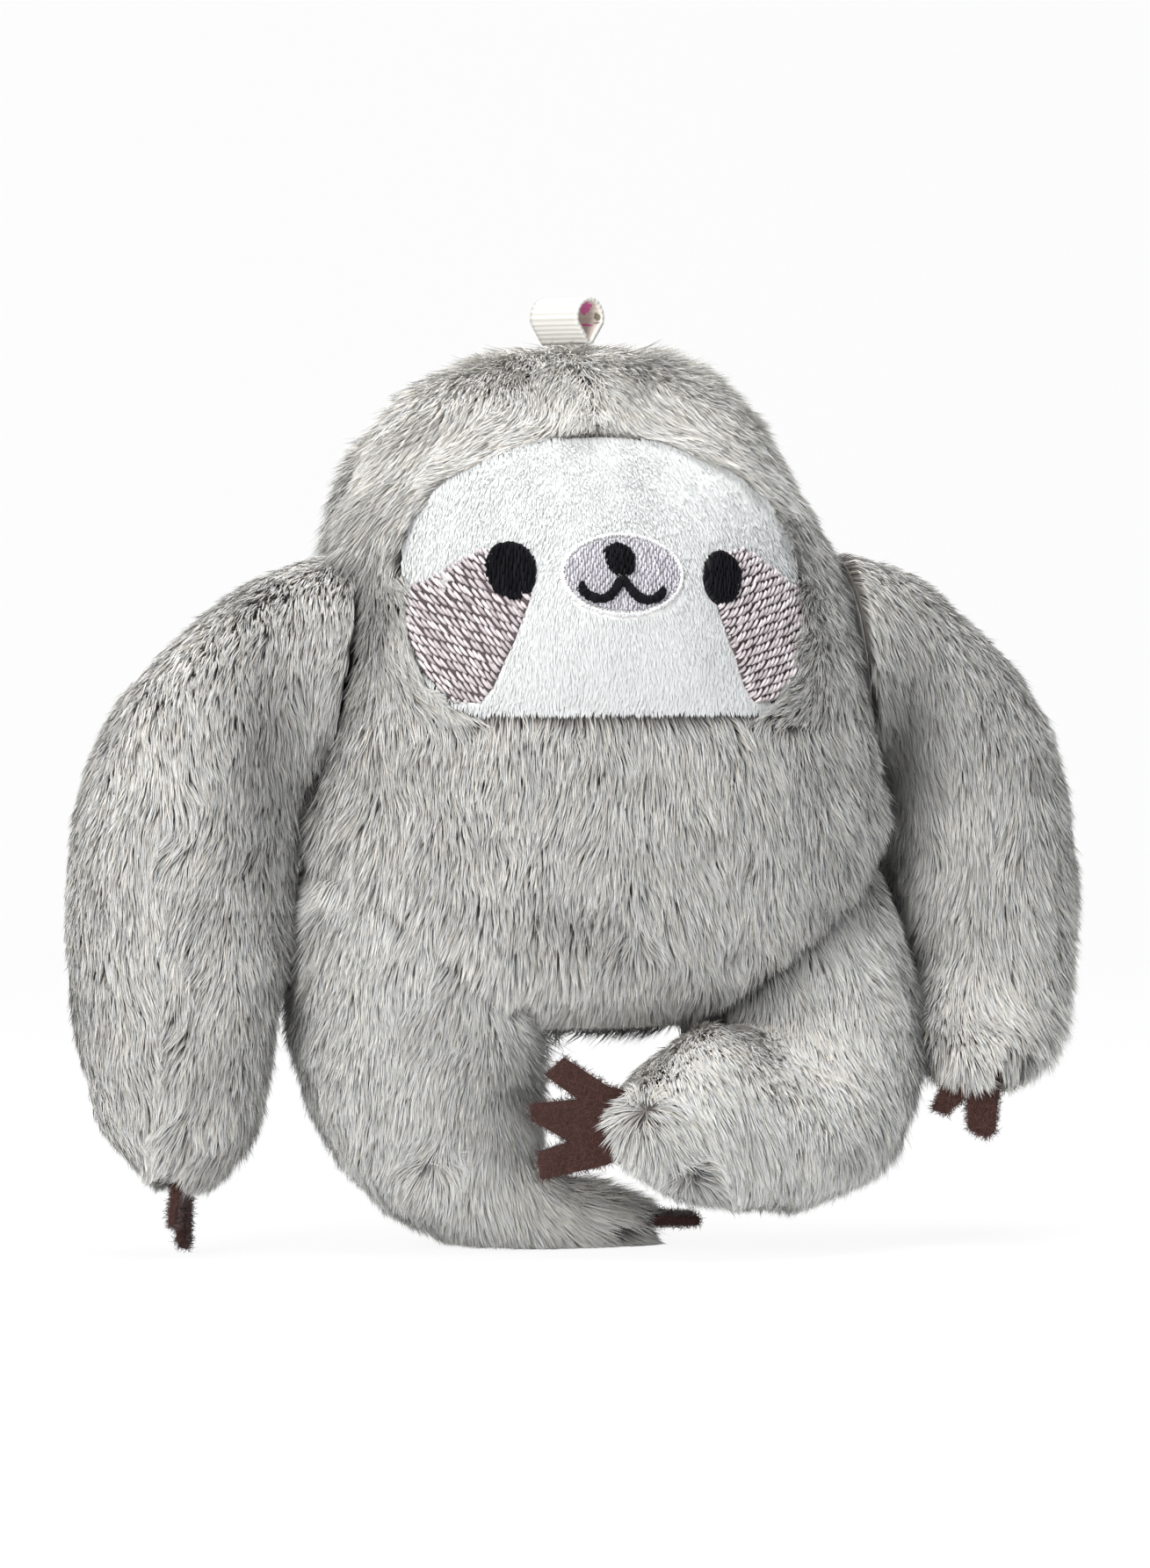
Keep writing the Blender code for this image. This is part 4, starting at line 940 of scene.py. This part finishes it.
nose = [
    (-0.00395, 0.0988), (-0.0035, 0.0995), (-0.0027, 0.0999), (-0.0018, 0.10015), (-0.0007, 0.0998), (0.0002, 0.0992),
    (0.0006, 0.0980), (0.00045, 0.0966), (0.0002, 0.0956), (-0.0012, 0.0953), (-0.00275, 0.0957), (-0.0036, 0.0972),
]
ground_patch("nose", nose, 0.0008, black_ground)
starts, ends = filled(nose, math.radians(82), 0.00030, 0.0022, rng, 0.41, 0.0, 0.00035)
colours = thread_colours(len(starts), INK_LOW, INK_HIGH, rng)
stitches("nose_stitches", starts, ends, 0.00038, SECOND_LIFT, 0.0004, colours, dark_thread, rng, nose)

mouth = np.array([
    (-0.0070, 0.0945), (-0.0071, 0.0938), (-0.0066, 0.0930), (-0.0057, 0.0925), (-0.0046, 0.0923), (-0.0036, 0.0925),
    (-0.0026, 0.0934), (-0.0016, 0.0950), (-0.0014, 0.0950), (-0.0006, 0.0939), (0.0004, 0.0927), (0.0015, 0.0921),
    (0.0026, 0.0922), (0.0036, 0.0926), (0.0043, 0.0933), (0.0038, 0.0938),
])
reach = np.r_[0, np.cumsum(np.linalg.norm(np.diff(mouth, axis=0), axis=1))]
steps = np.arange(0, reach[-1], 0.00017)
line = np.stack([np.interp(steps, reach, mouth[:, k]) for k in (0, 1)], 1)
ahead = unit(np.gradient(line, axis=0))
beside = np.stack([-ahead[:, 1], ahead[:, 0]], 1)
half = 0.00052 + 0.00022 * rng.random((len(line), 1))
half *= np.interp(steps, [0, 0.0008, reach[-1] - 0.0008, reach[-1]], [0.55, 1, 1, 0.55])[:, None]
colours = thread_colours(len(line), INK_LOW, INK_HIGH, rng)
mouth_threads = stitches(
    "mouth_stitches", line - beside * half, line + beside * half, 0.00036, SECOND_LIFT, 0.0004, colours,
    dark_thread, rng,
)
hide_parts("mouth")

# The claws are cut from thick brown felt, whose loose fibres stand off its faces and edges.
FELT_DARK = (0.027, 0.009, 0.007)
FELT_LIGHT = (0.088, 0.032, 0.024)
tree, shader, felt = new_material("claw_felt", 0.95)
matted = noise_value(tree, 900.0, 5.0, 0.7)
link_to(tree, mixed(tree, matted, FELT_DARK, (0.058, 0.021, 0.016)), shader.inputs["Base Color"])
bump(tree, shader, matted, 0.9, 0.0005)
felt_fibre = strand_material("felt_fibre", 0.85, 0.3, 500.0, 0.2)
for body, node in (
    ("left_arm", "left_hand_claws"), ("right_arm", "right_hand_claws"),
    ("left_leg", "left_foot_claws"), ("right_leg", "right_foot_claws"),
):
    points, corners = triangles_of(nodes[node])
    claws = mesh_of(node + "_felt", points, corners, None, None, [felt])
    bpy.ops.object.select_all(action="DESELECT")
    claws.select_set(True)
    bpy.context.view_layer.objects.active = claws
    bpy.ops.object.mode_set(mode="EDIT")
    bpy.ops.mesh.select_all(action="SELECT")
    bpy.ops.mesh.remove_doubles(threshold=0.00001)
    bpy.ops.mesh.dissolve_limited(angle_limit=math.radians(2))
    bpy.ops.object.mode_set(mode="OBJECT")
    bevel = claws.modifiers.new("rounded", "BEVEL")
    bevel.width = 0.00022
    bevel.segments = 3
    bevel.limit_method = "ANGLE"
    bpy.ops.object.modifier_apply(modifier="rounded")
    bpy.ops.object.shade_smooth_by_angle(angle=math.radians(40))
    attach(claws, body)
    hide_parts(node)
    rng = np.random.default_rng(len(node) + ord(node[0]))
    points, corners = triangles_of(claws)
    tri = points[corners]
    across = unit(np.cross(tri[:, 1] - tri[:, 0], tri[:, 2] - tri[:, 0]))
    roots, normals = scatter(tri, np.repeat(across[:, None], 3, axis=1), 5200, rng)
    comb = rng.normal(size=roots.shape)
    lengths = 0.0011 * (0.6 + 0.9 * rng.random(len(roots)))
    angles = np.array([[1.0, 1.4]]) + 0.25 * rng.normal(size=(len(roots), 2))
    alone = np.arange(len(roots))
    path = strand_paths(roots - normals * 0.00005, normals, comb, lengths, angles, alone, 0, rng)
    colours = thread_colours(len(roots), FELT_DARK, FELT_LIGHT, rng)
    path[:, :, 2] = np.maximum(path[:, :, 2], 0.0001)
    width = np.full(len(roots), 0.00009)
    fuzz = strand_mesh(node + "_fibres", path, normals, width, colours * 0.8, colours * 1.25, felt_fibre, rng)
    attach(fuzz, body)
    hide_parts(node)

# The hanging loop is a narrow ribbed ribbon, folded back on itself at the crown's seam. One side is
# plain ivory, and the other has a small printed pattern of dots and leaves.
RIBBON_ROOT = (-0.00075, 0.00503, 0.12925)
RIBBON_TURN = math.radians(-58)
RIBBON_HALF_WIDTH = 0.0045
outline = []
for k in range(33):
    turn = math.radians(-15) + math.radians(210) * k / 32
    outline.append((0.00266 * math.cos(turn), 0.0030 + 0.00266 * math.sin(turn)))
for k in range(13):
    turn = math.radians(195) + math.radians(150) * k / 12
    outline.append((0.00062 * math.cos(turn), 0.00062 * math.sin(turn)))
path = np.array(outline)
spread = np.r_[0, np.cumsum(np.linalg.norm(np.diff(np.vstack([path, path[:1]]), axis=0), axis=1))]
ahead = unit(np.roll(path, -1, axis=0) - np.roll(path, 1, axis=0))
beside = np.stack([ahead[:, 1], -ahead[:, 0]], 1)
axis = np.array([math.cos(RIBBON_TURN), math.sin(RIBBON_TURN), 0])
cross = np.array([-axis[1], axis[0], 0])
ACROSS_STEPS = 14
points, uvs = [], []
for lift in (0.00018, -0.00018):
    for k, (place, out) in enumerate(zip(path, beside)):
        rib = 0.00004 * math.cos(2 * math.pi * spread[k] / 0.0008)
        for s in range(ACROSS_STEPS + 1):
            w = -1 + 2 * s / ACROSS_STEPS
            edge = 0.00010 if abs(w) > 0.9 else 0
            a, b = place + out * (lift + math.copysign(rib + edge, lift))
            points.append(np.array(RIBBON_ROOT) + cross * a + np.array([0, 0, b]) + axis * w * RIBBON_HALF_WIDTH)
            uvs.append((w * RIBBON_HALF_WIDTH, spread[k]))
per, rings = ACROSS_STEPS + 1, len(path)
corners, prints = [], []
for sheet in (0, 1):
    for k in range(rings):
        for s in range(ACROSS_STEPS):
            a = sheet * rings * per + k * per + s
            b = sheet * rings * per + ((k + 1) % rings) * per + s
            quad = (a, b, b + 1, a + 1) if sheet == 0 else (a, a + 1, b + 1, b)
            corners += [(quad[0], quad[1], quad[2]), (quad[0], quad[2], quad[3])]
            prints += [sheet, sheet]
for s, flip in ((0, True), (ACROSS_STEPS, False)):
    for k in range(rings):
        a, b = k * per + s, ((k + 1) % rings) * per + s
        c, d = a + rings * per, b + rings * per
        quad = (a, c, d, b) if flip else (a, b, d, c)
        corners += [(quad[0], quad[1], quad[2]), (quad[0], quad[2], quad[3])]
        prints += [0, 0]


def ribbon_material(name, printed):
    tree, shader, made = new_material(name, 0.55)
    place = add_node(tree, "ShaderNodeUVMap", {"uv_map": "woven"})
    parts = add_node(tree, "ShaderNodeSeparateXYZ", Vector=place.outputs["UV"])
    along = Value(tree, parts.outputs[1])
    across = Value(tree, parts.outputs[0])
    ribs = along.made("SINE", along * (2 * math.pi / 0.0008))
    weft = across.made("SINE", across * (2 * math.pi / 0.00022))
    weave = ribs * 0.7 + weft * 0.3
    # The ivory is painted darker in the weave's hollows, as painted shade between the ribs
    ivory = mixed(tree, weave * 0.5 + 0.5, (0.46, 0.45, 0.42), (0.72, 0.71, 0.675))
    if printed:
        ivory = mixed(tree, 0.5, ivory, (0.92, 0.78, 0.70))
        wobble = (noise_value(tree, 1600.0) - 0.5) * 0.0011
        for ink, spots in (
            ((0.80, 0.09, 0.45), ((0.0014, 0.0025, 0.0011), (0.0027, 0.0030, 0.0006))),
            ((0.12, 0.13, 0.07), ((0.0037, 0.0009, 0.0007), (-0.0010, 0.0045, 0.0005))),
        ):
            for u, v, radius in spots:
                a, b = across - u + wobble, along - v + wobble
                apart = a * a + b * b
                ivory = mixed(tree, apart.made("LESS_THAN", apart, radius ** 2) * 0.85, ivory, ink)
    link_to(tree, ivory, shader.inputs["Base Color"])
    bump(tree, shader, weave, 0.4, 0.00008)
    return made


ribbon = mesh_of(
    "hanging_ribbon", np.array(points), np.array(corners), None, None,
    [ribbon_material("ribbon_plain", False), ribbon_material("ribbon_print", True)], np.array(prints),
)
layer = ribbon.data.uv_layers.new(name="woven")
loop_points = np.empty(len(ribbon.data.loops), np.int32)
ribbon.data.loops.foreach_get("vertex_index", loop_points)
layer.data.foreach_set("uv", np.array(uvs, np.float32)[loop_points].ravel())
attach(ribbon, "ribbon")
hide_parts("ribbon_loop")

# A pale floor that curves up into a backdrop, soft lamps, and the camera at the photograph's angle
bpy.ops.mesh.primitive_plane_add(size=1)
floor = bpy.context.object
floor.name = "floor"
floor.data.clear_geometry()
rows = [(-2.0, 0.0), (0.8, 0.0)]
rows += [(0.8 + 0.5 * math.sin(math.radians(t)), 0.5 - 0.5 * math.cos(math.radians(t))) for t in range(10, 91, 10)]
rows += [(1.3, 2.5)]
floor.data.from_pydata(
    [(x, y, z) for y, z in rows for x in (-3, 3)], [],
    [(2 * k, 2 * k + 1, 2 * k + 3, 2 * k + 2) for k in range(len(rows) - 1)],
)
floor.data.shade_smooth()
tree, shader, paper = new_material("pale_paper", 0.9)
shader.inputs["Base Color"].default_value = (0.93, 0.93, 0.93, 1)
seen = Value(tree, add_node(tree, "ShaderNodeLightPath").outputs["Is Camera Ray"])
glow = add_node(tree, "ShaderNodeEmission", Color=(1.0, 1.0, 1.0))
blend = add_node(tree, "ShaderNodeMixShader")
for k, part in enumerate((seen * 0.92, shader.outputs[0], glow.outputs[0])):
    link_to(tree, part, blend.inputs[k])
link_to(tree, blend.outputs[0], tree.nodes["Material Output"].inputs["Surface"])
floor.data.materials.append(paper)

world = bpy.data.worlds.new("studio")
bpy.context.scene.world = world
world.use_nodes = True
world.node_tree.nodes["Background"].inputs["Color"].default_value = (0.93, 0.96, 1.0, 1)
world.node_tree.nodes["Background"].inputs["Strength"].default_value = 0.40
for name, place, size, power, colour in (
    ("key", (-0.60, -0.66, 0.42), 0.40, 8.5, (1.0, 0.99, 0.97)),
    ("fill", (0.70, -0.60, 0.30), 0.6, 0.8, (0.93, 0.97, 1.0)),
    ("top", (0.00, -0.08, 0.85), 0.5, 7.0, (1.0, 1.0, 1.0)),
):
    lamp = bpy.data.lights.new(name, "AREA")
    lamp.size = size
    lamp.energy = power
    lamp.color = colour
    lamp_object = bpy.data.objects.new(name, lamp)
    bpy.context.scene.collection.objects.link(lamp_object)
    lamp_object.location = place
    lamp_object.rotation_euler = (Vector((0, 0, 0.065)) - Vector(place)).to_track_quat("-Z", "Y").to_euler()

azimuth, elevation, distance = math.radians(-15), math.radians(1.5), 1.24
target = Vector((-0.00051, 0.00153, 0.0659))
back = Vector((
    math.sin(azimuth) * math.cos(elevation), -math.cos(azimuth) * math.cos(elevation), math.sin(elevation),
))
camera = bpy.data.objects.new("camera", bpy.data.cameras.new("camera"))
bpy.context.scene.collection.objects.link(camera)
camera.data.lens = 200
camera.data.sensor_width = 36
camera.location = target + back * distance
camera.rotation_euler = (-back).to_track_quat("-Z", "Y").to_euler()
bpy.context.scene.camera = camera
bpy.context.scene.view_settings.view_transform = "Standard"
